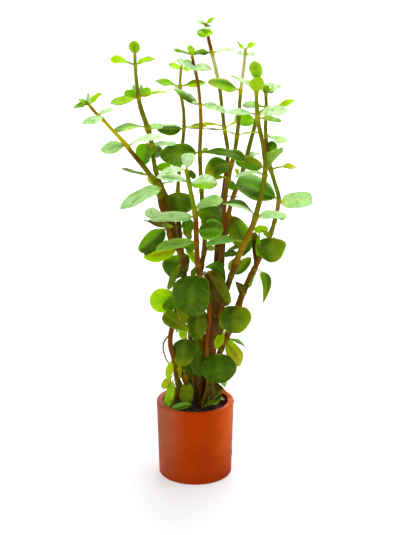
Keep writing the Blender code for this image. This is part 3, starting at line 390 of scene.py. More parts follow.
# Small leaves of each stem, which grow out of it
SMALL_LEAVES = {"stem_a": (
    leaf(245.5, (-0.3, 1, 7), 2.8, 0, 0, "pale"),
    leaf(245.5, (7.5, -2, 7.5), 4.2, 0.08, 60, "lime"),
    leaf(245.5, (-6, 0, 3.5), 3.2, 0.05, 45, "bright"),
    leaf(245.5, (-9, -2, -1.5), 3.6, 0.15, 45, "green", tip="pale"),
    leaf(245.8, (-1.5, -2.5, 2.5), 2.2, 0, 0, "dark"),
    leaf(237.5, (-13.2, -3, -3.2), 5.8, 0.06, 45, "pale", start=(-54.5, -13.2, 238), stalk=0.05),
    leaf(239.2, (9, 2, 3.2), 3.6, 0.08, 40, "pale", stalk=0.08),
    leaf(200, (-17, -2, 5), 3.6, 0, 30, "moss", base="lime", sheen=0.3, tip="brown"),
    leaf(193.5, (-4.5, 3, 6), 5.5, 0.05, 60, "lime"),
    leaf(168, (-18.8, -1.5, 5), 4.6, -0.02, 45, "brown", start=(-13.8, -7.5, 168.2), form=(0.5, 1.1),
        base="moss", stalk=0.03),
    leaf(160, (-13.9, -3.5, -8.4), 4, 0.03, 45, "brown", start=(-17.6, -9, 159.9)),
    leaf(188, (-3, -1, 1.5), 1.6, 0, 0, "rust"),
), "stem_b": (
    leaf(273, (0, -1.2, 8.2), 6.7, 0, 0, "lime", form=ROUND, stalk=0.05, rib="green"),
    leaf(273, (1, 3, 7), 5, 0, 0, "lime"),
    leaf(266.5, (-15, 4, 3), 5.8, 0.12, 45, "lime", form=(0.9, 0.6), stalk=0.25, base="olive",
        blend="bright"),
    leaf(266.5, (12.5, -3, 4), 5.5, 0.12, 35, "lime", form=(0.6, 1.1), stalk=0.12, edge="moss",
        spots=((0.85, 0.2, 0.5, "brown"),)),
    leaf(246.8, (-17, -4, -2.8), 6.5, 0, 40, "lime", edge="olive", tip="pale", blend="moss"),
    leaf(246.8, (17, 3, 2.8), 3.2, 0.10, 30, "lime", stalk=0.45, base="brown", blend="olive"),
    leaf(246.8, (-8.5, 5, 2.3), 6.5, 0.10, 50, "bright"),
    leaf(246.8, (7, 5, 4.2), 6.3, 0.10, 50, "bright"),
    leaf(246.8, (-3, 4, 7), 3.4, -0.2, 0, "pale"),
    leaf(246.8, (1.5, 4, 7.5), 2.6, -0.2, 0, "pale"),
    leaf(228.6, (-20.8, -4, -2), 6, 0.13, 35, "lime", tip="green", sides=("green", "lime"),
        form=(0.6, 0.42), sheen=0.25),
    leaf(228.4, (9, 3, 0), 6, 0.05, 35, "pale", stalk=0.05, sheen=0.5),
    leaf(218.5, (15, -5, 1.2), 5, -0.03, 30, "pale", stalk=0.05),
    leaf(216, (2, -1, -9.5), 11, 0.04, 0, "green", start=(-25, 6, 218.5), form=(0.4, 0.5), blend="dark"),
    leaf(203, (9.5, -2, 1.5), 5.5, 0.05, 60, "bright", start=(-24.3, 3, 203.3), stalk=0.05),
    leaf(193, (7.5, 1, 1), 3, 0.05, 15, "pale", start=(-20.5, 1.5, 193.5)),
    leaf(118, (-10, -4, -3.5), 8, 0.05, 70, "green", stalk=0.05, blend="dark"),
    leaf(117, (11, -1, -14.5), 12, 0.05, 40, "moss", start=(-13.5, -2, 118)),
    leaf(76, (-2.5, -2.5, -11.5), 5, 0.05, 40, "lime", start=(-15.3, -1.8, 77), stalk=0.04, blend="yellow",
        edge="yellow"),
    leaf(67, (-6.3, -2, -7.6), 5.2, 0.05, 55, "yellow", start=(-15, -1.5, 66.5), edge="olive"),
    leaf(72, (2, -1.8, -9.5), 4.6, 0.05, 0, "yellow", start=(-11.6, 0.2, 74.8), stalk=0.03),
    leaf(64, (1.6, -1, -15), 4.5, 0.03, 0, "olive", start=(-11.4, 0.8, 67), stalk=0.03),
    leaf(61, (0.8, -1.5, -11), 3.4, 0.03, 20, "rust", start=(-13.8, 0, 60), stalk=0.03),
    leaf(108, (7, 4, -13), 11, 0.05, 0, "dark", start=(-10.5, 3, 111)),
    leaf(132, (7, 5, -12), 10, 0.05, 0, "dark", start=(-7, 4, 134)),
), "stem_c": (
    leaf(264.5, (3.5, 0.5, 4), 2.6, 0, 30, "lime"),
    leaf(263, (-7.5, 1, 2.5), 4.6, 0.05, 45, "lime", form=(0.6, 0.9), stalk=0.06, tip="pale"),
    leaf(263, (7, -1, -0.5), 4, 0.05, 45, "lime"),
    leaf(251.8, (-15.5, 3, 3.2), 5.2, 0.02, 45, "bright", stalk=0.2, form=(0.8, 1.1), tip="pale"),
    leaf(252, (15.5, -3, 2.5), 5.5, 0.05, 45, "lime", stalk=0.2, sides=("lime", "olive")),
    leaf(251, (-3.8, 2, 0.5), 2.5, 0, 0, "pale"),
    leaf(250, (14.6, -5, -9), 5.6, 0.05, 50, "dark", start=(-12.9, 10.5, 251.2), form=(0.6, 0.5),
        base="pale", stalk=0.03, sheen=0.8, sheen_side=(0.2, 0.7)),
    leaf(226.5, (14, -3, 1.2), 4.5, 0.05, 30, "yellow", sides=("yellow", "olive")),
    leaf(170, (6, -4, -5.5), 8, 0.10, 40, "green", start=(-7.5, 4, 169.5), stalk=0.05),
    leaf(160, (5, -3, -7), 7, 0.10, 40, "green", start=(-7, 3, 157), stalk=0.05),
    leaf(165, (3.5, -3, -9), 8, 0.05, 0, "moss", start=(-6.8, 3.5, 166.3), stalk=0.03),
    leaf(151, (6, -4, -9), 5, 0.05, 30, "lime", start=(-5, 1, 151.5), stalk=0.02, form=(0.25, 0.4),
        blend="green"),
    leaf(150, (3.5, -4, -14), 6, 0.08, 0, "dark"),
    leaf(98, (-7, 3, -5), 4.5, 0.10, 20, "green"),
    leaf(96, (0, -2, -7.5), 5.5, 0.05, 0, "lime", start=(-7.9, 4, 98), stalk=0.03),
    leaf(84, (2.4, -4, -27), 15.5, 0.05, 0, "dark", start=(0.3, 3, 93), stalk=0.03),
    leaf(103, (1.5, -1, -8), 2.8, 0.03, 0, "pale", start=(-13.2, 2, 103)),
    leaf(77, (1.2, -3, -14.5), 13.5, 0.06, 0, "dark", start=(-6.6, 5, 77.5), form=ROUND),
    leaf(68, (1.5, -3, -10), 5.6, 0.05, 0, "brown", start=(-7.4, 0.5, 70.5), blend="rust"),
    leaf(73, (-8, 2, -9), 9, 0.08, 0, "moss", start=(-2, 9, 76)),
    leaf(62, (-0.5, -5, -15.5), 9.2, 0.05, 0, "moss", start=(-4.9, 0, 62.8), form=(0.5, 0.55), stalk=0.05),
    leaf(115, (-10, 11, -9), 11, 0.10, 0, "green"),
    leaf(75, (-8, 9, -12), 11, 0.10, 0, "dark"),
    leaf(200, (-6, 12, 4), 8, 0.10, 0, "green"),
    leaf(66, (5, 2, -15), 10, 0.05, 0, "brown", start=(-5, 10, 67)),
), "stem_d": (
    leaf(274, (-0.7, -1.6, 6.3), 4.6, 0, 0, "lime", form=ROUND, stalk=0.04,
        spots=((0.25, 0, 1.0, "dark"),)),
    leaf(274.5, (-11, 2, 2.6), 2.5, 0.02, 40, "green", tip="pale"),
    leaf(274.5, (5, -2, 1), 2.6, 0.05, 40, "green"),
    leaf(266.3, (-12, -1, 6.8), 5, 0.04, 45, "pale", start=(1, -7, 265.4), stalk=0.04),
    leaf(266.3, (13, 1, 0), 5.5, 0.10, 45, "pale", start=(-2.5, -7, 266), stalk=0.04, tip="brown",
        sheen=0.6),
    leaf(266, (-5, 3, 4.5), 3.4, 0.05, 40, "bright"),
    leaf(244, (-5, 3, 1), 3, 0.05, 15, "pale"),
    leaf(244, (15.5, -4, -4), 6, 0.12, 35, "pale", stalk=0.08),
    leaf(213.7, (4.8, -2, 3), 4, 0, 40, "bright"),
    leaf(190, (-6, 12, 2), 8, 0.10, 0, "green"),
    leaf(112, (1.5, -4, -14), 8, 0.05, 0, "olive", start=(3.5, -1.2, 112.5), stalk=0.04),
    leaf(128, (1, -2, -21), 8.5, 0.05, 0, "brown", start=(8.6, 1, 131.5), form=(0.3, 0.4)),
    leaf(132, (9, 10, -14), 12, 0.05, 40, "brown", start=(3, 9, 134)),
    leaf(104, (-9, 6, -14), 12, 0.05, 30, "dark", start=(4, 8, 108)),
    leaf(92, (8, 7, -15), 13, 0.05, 20, "brown", start=(6, 9, 94)),
    leaf(150, (-6, 9, -12), 11, 0.05, 30, "dark", start=(2, 9, 152)),
), "stem_e": (
    leaf(290.5, (0, 0, 3), 3, 0, 0, "bright"),
    leaf(290.5, (3, -1, -1.5), 1.8, 0, 0, "dark"),
    leaf(290.5, (5.5, -2, 4), 3.2, 0.05, 50, "lime"),
    leaf(290.5, (-5, 2, 1.5), 3, 0.05, 50, "pale"),
    leaf(290, (-2, -2, 1.5), 2.6, 0, 30, "dark"),
    leaf(287.5, (-0.5, -4, -4.6), 9.6, 0.05, 0, "lime", start=(6.1, 9, 288), form=ROUND, stalk=0.02,
        base="dark", sides=("bright", "lime")),
    leaf(287.5, (4.5, -1, 0), 2.6, 0.08, 40, "pale", start=(5, 7.5, 288.3), stalk=0.04),
    leaf(273.3, (14.5, 4, 1.2), 3.2, 0.08, 25, "pale", stalk=0.08, base="green", form=(0.5, 1.1)),
    leaf(273.3, (-11, -3, 0.2), 4.2, 0.05, 45, "bright", stalk=0.12, sides=("bright", "dark")),
    leaf(228.8, (-14, 3, 0.8), 3.2, 0.05, 30, "yellow", blend="moss"),
    leaf(227.5, (8.5, 2, 3.8), 2, 0.06, 30, "yellow"),
    leaf(226.5, (-22, 2, 0.6), 1.5, 0.02, 30, "moss"),
    leaf(150.5, (-7, -4, -1), 4.5, 0.08, 30, "moss"),
    leaf(182, (8, 13, -3), 9, 0.10, 0, "green"),
    leaf(125, (-8, 13, -8), 11, 0.10, 0, "green"),
    leaf(90, (3, 13, -12), 13, 0.10, 0, "dark"),
    leaf(110, (8, 6, -13), 11, 0.05, 20, "olive", start=(9, 12, 112)),
    leaf(76, (-2, 5, -17), 13, 0.05, 0, "brown", start=(10, 11, 78)),
    leaf(66, (-1, 3, -19), 12, 0.05, 0, "brown", start=(2.5, 12, 68)),
), "stem_f": (
    leaf(276.5, (-4.5, 1, 4.5), 2, -0.10, 45, "lime", tip="pale"),
    leaf(276.5, (5.8, -1, 3.8), 3.6, 0.15, 50, "lime"),
    leaf(273.6, (-5, -2, 1), 3.4, 0.05, 40, "pale"),
    leaf(273.6, (5.5, 2, -0.3), 3.4, 0.05, 40, "pale", tip="green"),
    leaf(223.5, (14, 2, 1), 1.8, 0.12, 30, "yellow"),
    leaf(223.5, (-8.5, -2, 3.8), 1.6, 0.05, 30, "yellow"),
    leaf(196, (3.5, -3, -6), 5.5, 0.05, 60, "green"),
    leaf(197, (-15, -6, 0.8), 4.5, 0.05, 30, "yellow", blend="moss"),
    leaf(108, (1.5, -4, -13), 6.5, 0.05, 0, "brown"),
    leaf(58, (-10, -4, -6), 5, 0.05, 40, "olive", start=(18.2, -0.5, 57.5), edge="pale"),
), "stem_g": (
    leaf(261, (-0.5, -1, 10.3), 8.4, 0, 0, "lime", form=(0.34, 0.42), stalk=0.03, rib="bright",
        base="bright"),
    leaf(252.5, (0.5, -3, 9.6), 9, 0, 0, "lime", form=(0.45, 0.42), stalk=0.03),
    leaf(256.5, (-15, 3, 5.5), 3.8, -0.05, 40, "pale", stalk=0.1, base="green", form=(0.4, 1.0)),
    leaf(256.5, (14, 3, -0.5), 2.4, 0.05, 40, "pale", stalk=0.1, tip="brown"),
    leaf(238.5, (-19, -3, 1.5), 5.5, 0.10, 35, "pale", stalk=0.15),
    leaf(236.5, (14, -1, -1.8), 4.6, 0.06, 40, "lime", tip="pale", base="yellow", sheen=0.2),
    leaf(201.5, (-18, -3, -1), 4.5, 0.12, 20, "pale", blend="lime", stalk=0.06),
    leaf(155, (-9, 4, -4), 4, 0.10, 30, "olive"),
    leaf(151, (-10, -2, -1.5), 5, 0.15, 45, "dark"),
    leaf(136, (11.6, 3, 10.4), 7.2, 0.08, 75, "moss", stalk=0.05, sides=("dark", "moss")),
    leaf(146, (-5.5, -1, -9), 5, 0.05, 60, "moss", start=(26.8, -3.5, 148)),
), "stem_h": (
    leaf(249, (4.6, -3, 4.6), 4.6, 0.05, 20, "lime"),
    leaf(249, (0, -1.5, 6.3), 4.6, 0, 0, "lime", form=ROUND),
    leaf(249, (-4.2, -2, 4.6), 3.4, 0.05, 20, "lime"),
    leaf(249, (4.8, 1, 0.8), 2.8, 0.05, 50, "bright"),
    leaf(249, (9.5, 2, 4), 3, 0.05, 40, "pale"),
    leaf(249, (-1.8, -4, 2.2), 1.1, 0, 30, "dark"),
    leaf(249, (2.2, -4.5, 3), 1.0, 0, 30, "green"),
    leaf(240.2, (-14.8, 2, 0.8), 5.6, 0.08, 40, "green", sides=("pale", "dark"), sheen=0.4),
    leaf(240.5, (17, -3, 5), 5, -0.10, 40, "lime", stalk=0.4, base="pale", blend="moss",
        spots=((0.98, 0, 0.6, "brown"),)),
    leaf(223.5, (14.5, 3, -4), 7.4, -0.12, 30, "pale", base="green", spots=((0.97, 0, 0.5, "brown"),)),
    leaf(203.5, (1.2, 4, 15.5), 9, 0.05, 0, "bright", form=ROUND, tip="green"),
    leaf(202, (16, 3, 0.7), 4.2, 0.08, 40, "yellow", stalk=0.42, base="pale", blend="moss", edge="moss"),
    leaf(170, (5, 13, -4), 9, 0.10, 0, "green"),
    leaf(134, (-4, -1, -9.5), 3, 0.05, 30, "yellow", start=(38.3, 1, 135.3), sides=("moss", "pale")),
    leaf(162, (-1, -2, -14.5), 3.4, 0.03, 0, "bright", start=(40.3, 1.5, 161.5), stalk=0.04),
    leaf(163, (5, -2, -4), 4.5, 0.05, 30, "moss", start=(41.8, 1, 163.8)),
    leaf(123, (-6.5, -1.5, 9.8), 5.8, 0, 60, "brown", start=(31.8, -1, 121.3), form=(0.5, 0.9)),
    leaf(105, (6, 12, -9), 11, 0.10, 0, "green"),
    leaf(97, (-6.4, -1.5, -11.5), 8, 0.05, 30, "lime", start=(19.4, -0.4, 97), blend="moss"),
    leaf(91, (11, 1.5, -7), 3.4, 0.15, 30, "pale", start=(21.6, 1, 91.5), stalk=0.05, form=(0.80, 0.95),
        sheen=0.2, sides=("olive", "pale")),
    leaf(91, (4, 0, -5), 5, 0.05, 50, "lime"),
    leaf(89, (9.6, 1.5, -17.5), 11.5, 0.08, 60, "yellow", rib="olive", base="lime", edge="moss",
        stalk=0.05),
    leaf(66, (2.5, -1, -9), 5.4, 0.05, 20, "pale", start=(16.8, 1, 67.5), sheen=0.3),
), "stem_j": (
    leaf(207, (3.4, 3, 9.5), 12, 0.10, 0, "pale", form=ROUND, base="lime", sheen=0.9),
    leaf(207, (-15, -2, -1.2), 5.5, 0.08, 35, "pale", blend="bright", stalk=0.06),
    leaf(207, (5, 2, -6), 5, 0.05, 60, "dark"),
    leaf(178, (-10.5, 0.5, 3), 8, 0.05, 50, "pale", start=(-20.3, -14.8, 176.3), form=ROUND, stalk=0.03,
        spots=((0.85, 0.2, 0.6, "dark"),)),
    leaf(145, (-3, -3, -10), 4.5, 0.05, 0, "dark"),
), "stem_k": (
    leaf(233, (6, 3, 4), 5, 0.08, 15, "green"),
    leaf(205, (8, 11, 3), 8, 0.10, 0, "green"),
    leaf(196, (-4, -1, 4.8), 4.2, 0, 40, "lime"),
), "stem_p": (
    leaf(159, (9.5, -1, 0.8), 5.4, 0.08, 50, "lime", start=(36.4, 4, 163), stalk=0.03, form=ROUND),
    leaf(157, (-7.5, -2, -12), 8.5, 0.08, 30, "green", blend="olive"),
)}

# Bare roots, an aerial one and an orange one that leans on the rim: colour, radius and route in millimetres
ROOTS = {
    "stem_b": (SKIN_TONES["tan"], 0.62, (
        (-15.6, -2.4, 96), (-17.6, -2.5, 94), (-20.2, -2, 90.3), (-20.6, -2, 85.4), (-19.2, -2, 79.4),
        (-16, -1.5, 74), (-14, -1.5, 72))),
    "stem_h": ((226, 124, 40), 0.85, (
        (16.8, 0, 58.5), (18, -0.5, 57), (20, -1, 55), (21.6, -1.2, 52.8), (23.4, -1.4, 51.6))),
}

# Roots and fibres: sides of the tube and how much thinner the end is
ROOT_SHAPE = (10, 0.3)
FIBRE_SHAPE = (6, 0.5)


def linear(colour):
    """An sRGB colour from 0 to 255 as linear shares."""
    shares = np.asarray(colour, float) / 255
    return np.where(shares <= 0.04045, shares / 12.92, ((shares + 0.055) / 1.055) ** 2.4)


def smooth(low, high, value):
    """A soft step from 0 at low to 1 at high."""
    share = np.clip((value - low) / (high - low), 0, 1)
    return share * share * (3 - 2 * share)


def unit(vectors):
    return vectors / np.maximum(np.linalg.norm(vectors, axis=-1, keepdims=True), 1e-9)


def towards(colours, other, weight):
    """Colours moved towards another one, each by its own weight."""
    return colours + (other - colours) * weight[..., None]


def shown(name, data):
    """An object made of the given data, in the scene."""
    thing = bpy.data.objects.new(name, data)
    bpy.context.scene.collection.objects.link(thing)
    return thing


class Growth:
    """Gathers closed skins, with a colour and a place for each vertex, into one mesh piece."""

    def __init__(self):
        self.points = []
        self.faces = []
        self.tints = []
        self.places = []
        self.count = 0

    def add(self, rings, ends, tints, places=None):
        """Joins rings of points into a tube and closes it on the two end points."""
        places = np.zeros_like(rings) if places is None else places
        sides = rings.shape[1]
        first = self.count
        last = first + rings.shape[0] * sides
        self.points += [rings.reshape(-1, 3), np.asarray(ends, float).reshape(-1, 3)]
        self.tints += [tints.reshape(-1, 3), np.array((tints[0].mean(0), tints[-1].mean(0)))]
        self.places += [places.reshape(-1, 3), np.array((places[0].mean(0), places[-1].mean(0)))]
        for low in range(first, last - sides, sides):
            high = low + sides
            for side in range(sides):
                after = (side + 1) % sides
                self.faces.append((low + side, low + after, high + after, high + side))
        top = last - sides
        for side in range(sides):
            after = (side + 1) % sides
            self.faces.append((last, first + after, first + side))
            self.faces.append((last + 1, top + side, top + after))
        self.count = last + 2

    def piece(self, name, skin):
        mesh = bpy.data.meshes.new(name)
        mesh.from_pydata(np.concatenate(self.points).tolist(), [], self.faces)
        tint = mesh.attributes.new("tint", "FLOAT_COLOR", "POINT")
        tints = np.concatenate(self.tints)
        tint.data.foreach_set("color", np.c_[tints, np.ones(len(tints))].astype(np.float32).ravel())
        place = mesh.attributes.new("place", "FLOAT_VECTOR", "POINT")
        place.data.foreach_set("vector", np.concatenate(self.places).astype(np.float32).ravel())
        mesh.shade_smooth()
        mesh.materials.append(skin)
        return shown(name, mesh)


# Materials

class Nodes:
    """A short hand for building a Principled material."""

    def __init__(self, name, roughness):
        self.material = bpy.data.materials.new(name)
        self.material.use_nodes = True
        self.tree = self.material.node_tree
        self.shader = self.tree.nodes["Principled BSDF"]
        self.shader.inputs["Roughness"].default_value = roughness

    def set(self, **values):
        for name, value in values.items():
            self.shader.inputs[name.replace("_", " ")].default_value = value

    def node(self, kind, **settings):
        made = self.tree.nodes.new(kind)
        for name, value in settings.items():
            setattr(made, name, value)
        return made

    def join(self, output, target):
        self.tree.links.new(output, target)

    def attribute(self, name, output):
        return self.node("ShaderNodeAttribute", attribute_name=name).outputs[output]

    def position(self):
        return self.node("ShaderNodeTexCoord").outputs["Object"]

    def noise(self, scale, detail=4, roughness=0.6, stretch=None, where=None):
        made = self.node("ShaderNodeTexNoise")
        for name, number in (("Scale", scale), ("Detail", detail), ("Roughness", roughness)):
            made.inputs[name].default_value = number
        if where is None:
            where = self.position()
        if stretch:
            mapping = self.node("ShaderNodeMapping")
            mapping.inputs["Scale"].default_value = stretch
            self.join(where, mapping.inputs["Vector"])
            where = mapping.outputs["Vector"]
        self.join(where, made.inputs["Vector"])
        return made.outputs["Fac"]

    def math(self, operation, first, second=None):
        made = self.node("ShaderNodeMath", operation=operation)
        for socket, value in zip(made.inputs, (first, second)):
            if isinstance(value, (int, float)):
                socket.default_value = value
            elif value is not None:
                self.join(value, socket)
        return made.outputs[0]

    def ramp(self, value, low, high, start, end):
        made = self.node("ShaderNodeMapRange", interpolation_type="SMOOTHSTEP")
        self.join(value, made.inputs["Value"])
        for name, number in (("From Min", low), ("From Max", high), ("To Min", start), ("To Max", end)):
            made.inputs[name].default_value = number
        return made.outputs["Result"]

    def mix(self, share, first, second, blend="MIX"):
        made = self.node("ShaderNodeMix", data_type="RGBA", blend_type=blend)
        self.join(share, made.inputs[0])
        self.join(first, made.inputs[6])
        made.inputs[7].default_value = (*second, 1)
        return made.outputs[2]

    def layers(self, colour, *rows):
        """Colours laid over each other, each where its pattern goes from low to high."""
        for pattern, low, high, share, over, blend in rows:
            colour = self.mix(self.ramp(pattern, low, high, 0.0, share), colour, over, blend)
        return colour

    def streak_noise(self, phase, across):
        """Noise drawn out along the side veins, different from leaf to leaf."""
        local = self.node("ShaderNodeCombineXYZ")
        self.join(self.math("MULTIPLY", phase, 0.8), local.inputs[0])
        self.join(self.math("MULTIPLY", across, 1.3), local.inputs[1])
        shift = self.node("ShaderNodeVectorMath", operation="MULTIPLY_ADD")
        self.join(self.position(), shift.inputs[0])
        shift.inputs[1].default_value = (70, 70, 70)
        self.join(local.outputs[0], shift.inputs[2])
        return self.noise(1.3, 4, 0.55, where=shift.outputs[0])

    def finish(self, colour, shine, relief, distance, strength):
        """Joins the colour, the roughness (a pattern and its two ends) and the relief to the shader."""
        self.join(colour, self.shader.inputs["Base Color"])
        pattern, smoothest, roughest = shine
        self.join(self.ramp(pattern, 0.3, 0.7, smoothest, roughest), self.shader.inputs["Roughness"])
        bump = self.node("ShaderNodeBump")
        bump.inputs["Strength"].default_value = strength
        bump.inputs["Distance"].default_value = distance
        self.join(relief, bump.inputs["Height"])
        self.join(bump.outputs["Normal"], self.shader.inputs["Normal"])
        return self.material


def leaf_material(name):
    """A glossy leaf: streaks that follow the side veins, a painted sheen of light in pale patches, and fine
    cells.
    """
    nodes = Nodes(name, LEAF_ROUGHNESS)
    place = nodes.node("ShaderNodeSeparateXYZ")
    nodes.join(nodes.attribute("place", "Vector"), place.inputs[0])
    along, side, sheen = place.outputs
    across = nodes.math("ABSOLUTE", side)
    phase = nodes.math("SUBTRACT", nodes.math("MULTIPLY", along, VEIN_PAIRS),
                       nodes.math("MULTIPLY", across, VEIN_SWEEP))
    vein = nodes.ramp(nodes.math("PINGPONG", phase, 0.5), 0.0, 0.10, 1.0, 0.0)
    vein = nodes.math("MULTIPLY", vein, nodes.ramp(across, 0.75, 0.98, 1.0, 0.0))
    vein = nodes.math("MULTIPLY", vein, nodes.ramp(along, 0.12, 0.25, 0.0, 1.0))
    streaks = nodes.streak_noise(phase, side)
    blotch = nodes.noise(210, 3)
    cells = nodes.noise(2600, 2)
    colour = nodes.layers(nodes.attribute("tint", "Color"),
                          (blotch, 0.35, 0.70, 0.40, (0.82, 0.74, 0.45), "MULTIPLY"),
                          (streaks, 0.48, 0.72, 0.50, (0.50, 0.58, 0.35), "MULTIPLY"),
                          (streaks, 0.50, 0.30, 0.09, (0.42, 0.58, 0.02), "MIX"),
                          (cells, 0.30, 0.75, 0.22, (0.66, 0.74, 0.45), "MULTIPLY"))
    colour = nodes.mix(nodes.math("MULTIPLY", vein, 0.06), colour, (0.55, 0.72, 0.16))
    # Painted sheen: the colour goes towards a pale mint where the upper face would catch the light
    painted_glint = nodes.math("MULTIPLY", sheen, nodes.ramp(streaks, 0.66, 0.46, 0.35, 1.0))
    colour = nodes.mix(painted_glint, colour, (0.72, 0.97, 0.58))
    relief = nodes.math("SUBTRACT", nodes.math("MULTIPLY", cells, 0.4), nodes.math("MULTIPLY", vein, 0.6))
    relief = nodes.math("ADD", relief, nodes.math("MULTIPLY", streaks, 1.2))
    nodes.set(Subsurface_Weight=0.35, Subsurface_Radius=(0.7, 1.0, 0.15), Subsurface_Scale=0.0012,
              Specular_IOR_Level=0.30, Specular_Tint=(0.70, 1.0, 0.25, 1))
    return nodes.finish(colour, (blotch, LEAF_ROUGHNESS - 0.06, LEAF_ROUGHNESS + 0.12), relief, 0.00022, 0.7)


def stem_material():
    """Stem skin: streaks along the stem, fine pits and a soft shine."""
    nodes = Nodes("stem_skin_fine", 0.42)
    streaks = nodes.noise(900, 4, 0.6, (1, 1, 0.10))
    pits = nodes.noise(2400, 3)
    colour = nodes.layers(nodes.attribute("tint", "Color"),
                          (streaks, 0.35, 0.70, 0.45, (0.62, 0.48, 0.28), "MULTIPLY"),
                          (pits, 0.55, 0.80, 0.25, (0.50, 0.42, 0.10), "MIX"))
    relief = nodes.math("ADD", streaks, nodes.math("MULTIPLY", pits, 0.4))
    nodes.set(Subsurface_Weight=0.10, Subsurface_Radius=(1.0, 0.6, 0.2), Subsurface_Scale=0.001,
              Specular_IOR_Level=0.14, Specular_Tint=(1.0, 0.85, 0.25, 1))
    return nodes.finish(colour, (streaks, 0.34, 0.52), relief, 0.0002, 0.7)


def pot_material():
    """Terracotta-orange clay with a satin skin, fine speckle and faint turning lines."""
    nodes = Nodes("pot_clay_fine", 0.40)
    clouds = nodes.noise(70, 5)
    speckle = nodes.noise(3200, 2)
    lines = nodes.noise(260, 3, 0.6, (0.05, 0.05, 4.0))
    colour = nodes.layers(nodes.attribute("tint", "Color"),
                          (clouds, 0.35, 0.68, 0.55, (0.80, 0.66, 0.50), "MULTIPLY"),
                          (speckle, 0.60, 0.78, 0.22, (0.70, 0.14, 0.02), "MIX"),
                          (lines, 0.45, 0.75, 0.06, (0.30, 0.05, 0.01), "MIX"))
    relief = nodes.math("ADD", nodes.math("MULTIPLY", speckle, 0.5), nodes.math("MULTIPLY", lines, 0.5))
    nodes.set(Specular_IOR_Level=0.05, Specular_Tint=(1.0, 0.5, 0.25, 1))
    return nodes.finish(colour, (clouds, 0.36, 0.52), relief, 0.00012, 0.5)


def medium_material():
    """Dark wet growing wool with crumbs and paler fibres."""
    nodes = Nodes("growing_wool_fine", 0.85)
    crumbs = nodes.noise(900, 5, 0.7)
    fibres = nodes.noise(1400, 3, 0.6, (0.2, 1.0, 1.0))
    colour = nodes.layers(nodes.attribute("tint", "Color"),
                          (crumbs, 0.35, 0.70, 0.8, (0.30, 0.24, 0.18), "MULTIPLY"),
                          (fibres, 0.60, 0.80, 0.45, (0.20, 0.13, 0.06), "MIX"))
    return nodes.finish(colour, (crumbs, 0.55, 0.95), crumbs, 0.0006, 1.0)


def floor_material():
    """A pale floor that glows as painted light, more so far away as a lit studio sweep looks; the weaker glow
    near the pot is a painted shadow.
    """
    nodes = Nodes("pale_floor", 0.7)
    distance = nodes.node("ShaderNodeVectorMath", operation="LENGTH")
    nodes.join(nodes.position(), distance.inputs[0])
    # Painted shadow: the glow is weaker near the pot
    glow = nodes.ramp(distance.outputs["Value"], *FLOOR_GLOW_FROM, *FLOOR_GLOW)
    nodes.join(glow, nodes.shader.inputs["Emission Strength"])
    nodes.set(Base_Color=(0.5, 0.5, 0.5, 1), Specular_IOR_Level=0.1, Emission_Color=(1, 1, 1, 1))
    return nodes.material


# Stems

def hermite(heights, route, axis):
    """One coordinate of a smooth line through a route, at the given heights."""
    z, value = route[:, 2], route[:, axis]
    slope = np.gradient(value, z)
    low = np.clip(np.searchsorted(z, heights, side="right") - 1, 0, len(z) - 2)
    high = low + 1
    span = z[high] - z[low]
    t = (heights - z[low]) / span
    start = (2 * t ** 3 - 3 * t ** 2 + 1) * value[low] + (t ** 3 - 2 * t ** 2 + t) * span * slope[low]
    return start + (3 * t ** 2 - 2 * t ** 3) * value[high] + (t ** 3 - t ** 2) * span * slope[high]


def stem_line(stem, heights):
    """Points of a stem's centre line at heights, in millimetres."""
    route = np.array(SHOOTS[stem][1], float)
    heights = np.clip(np.asarray(heights, float), route[0, 2], route[-1, 2])
    return np.stack((hermite(heights, route, 0), hermite(heights, route, 1), heights), axis=-1)


def stem_radius(stem, heights):
    """A stem's half thickness at the given heights, in millimetres."""
    places, radii = zip(*SHOOTS[stem][0])
    return np.interp(heights, places, radii)


def leaf_heights(stem):
    """Heights of a stem's leaf nodes."""
    large = {plan.height for name, plan in LARGE_LEAVES.items() if name[0] == stem[-1]}
    return large | {plan.height for plan in SMALL_LEAVES[stem]}


def skin_colours(stem, heights):
    stops = SKINS[stem]
    places = [height for height, _ in stops]
    tones = np.array([linear(SKIN_TONES[tone]) for _, tone in stops])
    return np.stack([np.interp(heights, places, tones[:, band]) for band in range(3)], axis=-1)


def tube_rings(centres, radii, sides, flutes=0.0):
    """Rings of points around a line, each square to it, without twist."""
    along = unit(np.gradient(centres, axis=0))
    across = np.empty_like(centres)
    helper = np.cross(along[0], (0.3, 1.0, 0.1))
    for row, direction in enumerate(along):
        helper = helper - direction * np.dot(helper, direction)
        helper /= np.linalg.norm(helper)
        across[row] = helper
    lift = np.cross(along, across)
    angles = np.linspace(0, 2 * math.pi, sides, endpoint=False)
    ring = across[:, None] * np.cos(angles)[None, :, None] + lift[:, None] * np.sin(angles)[None, :, None]
    shape = 1 + flutes * np.cos(4 * angles)
    return centres[:, None] + ring * (np.asarray(radii)[:, None] * shape[None])[..., None]


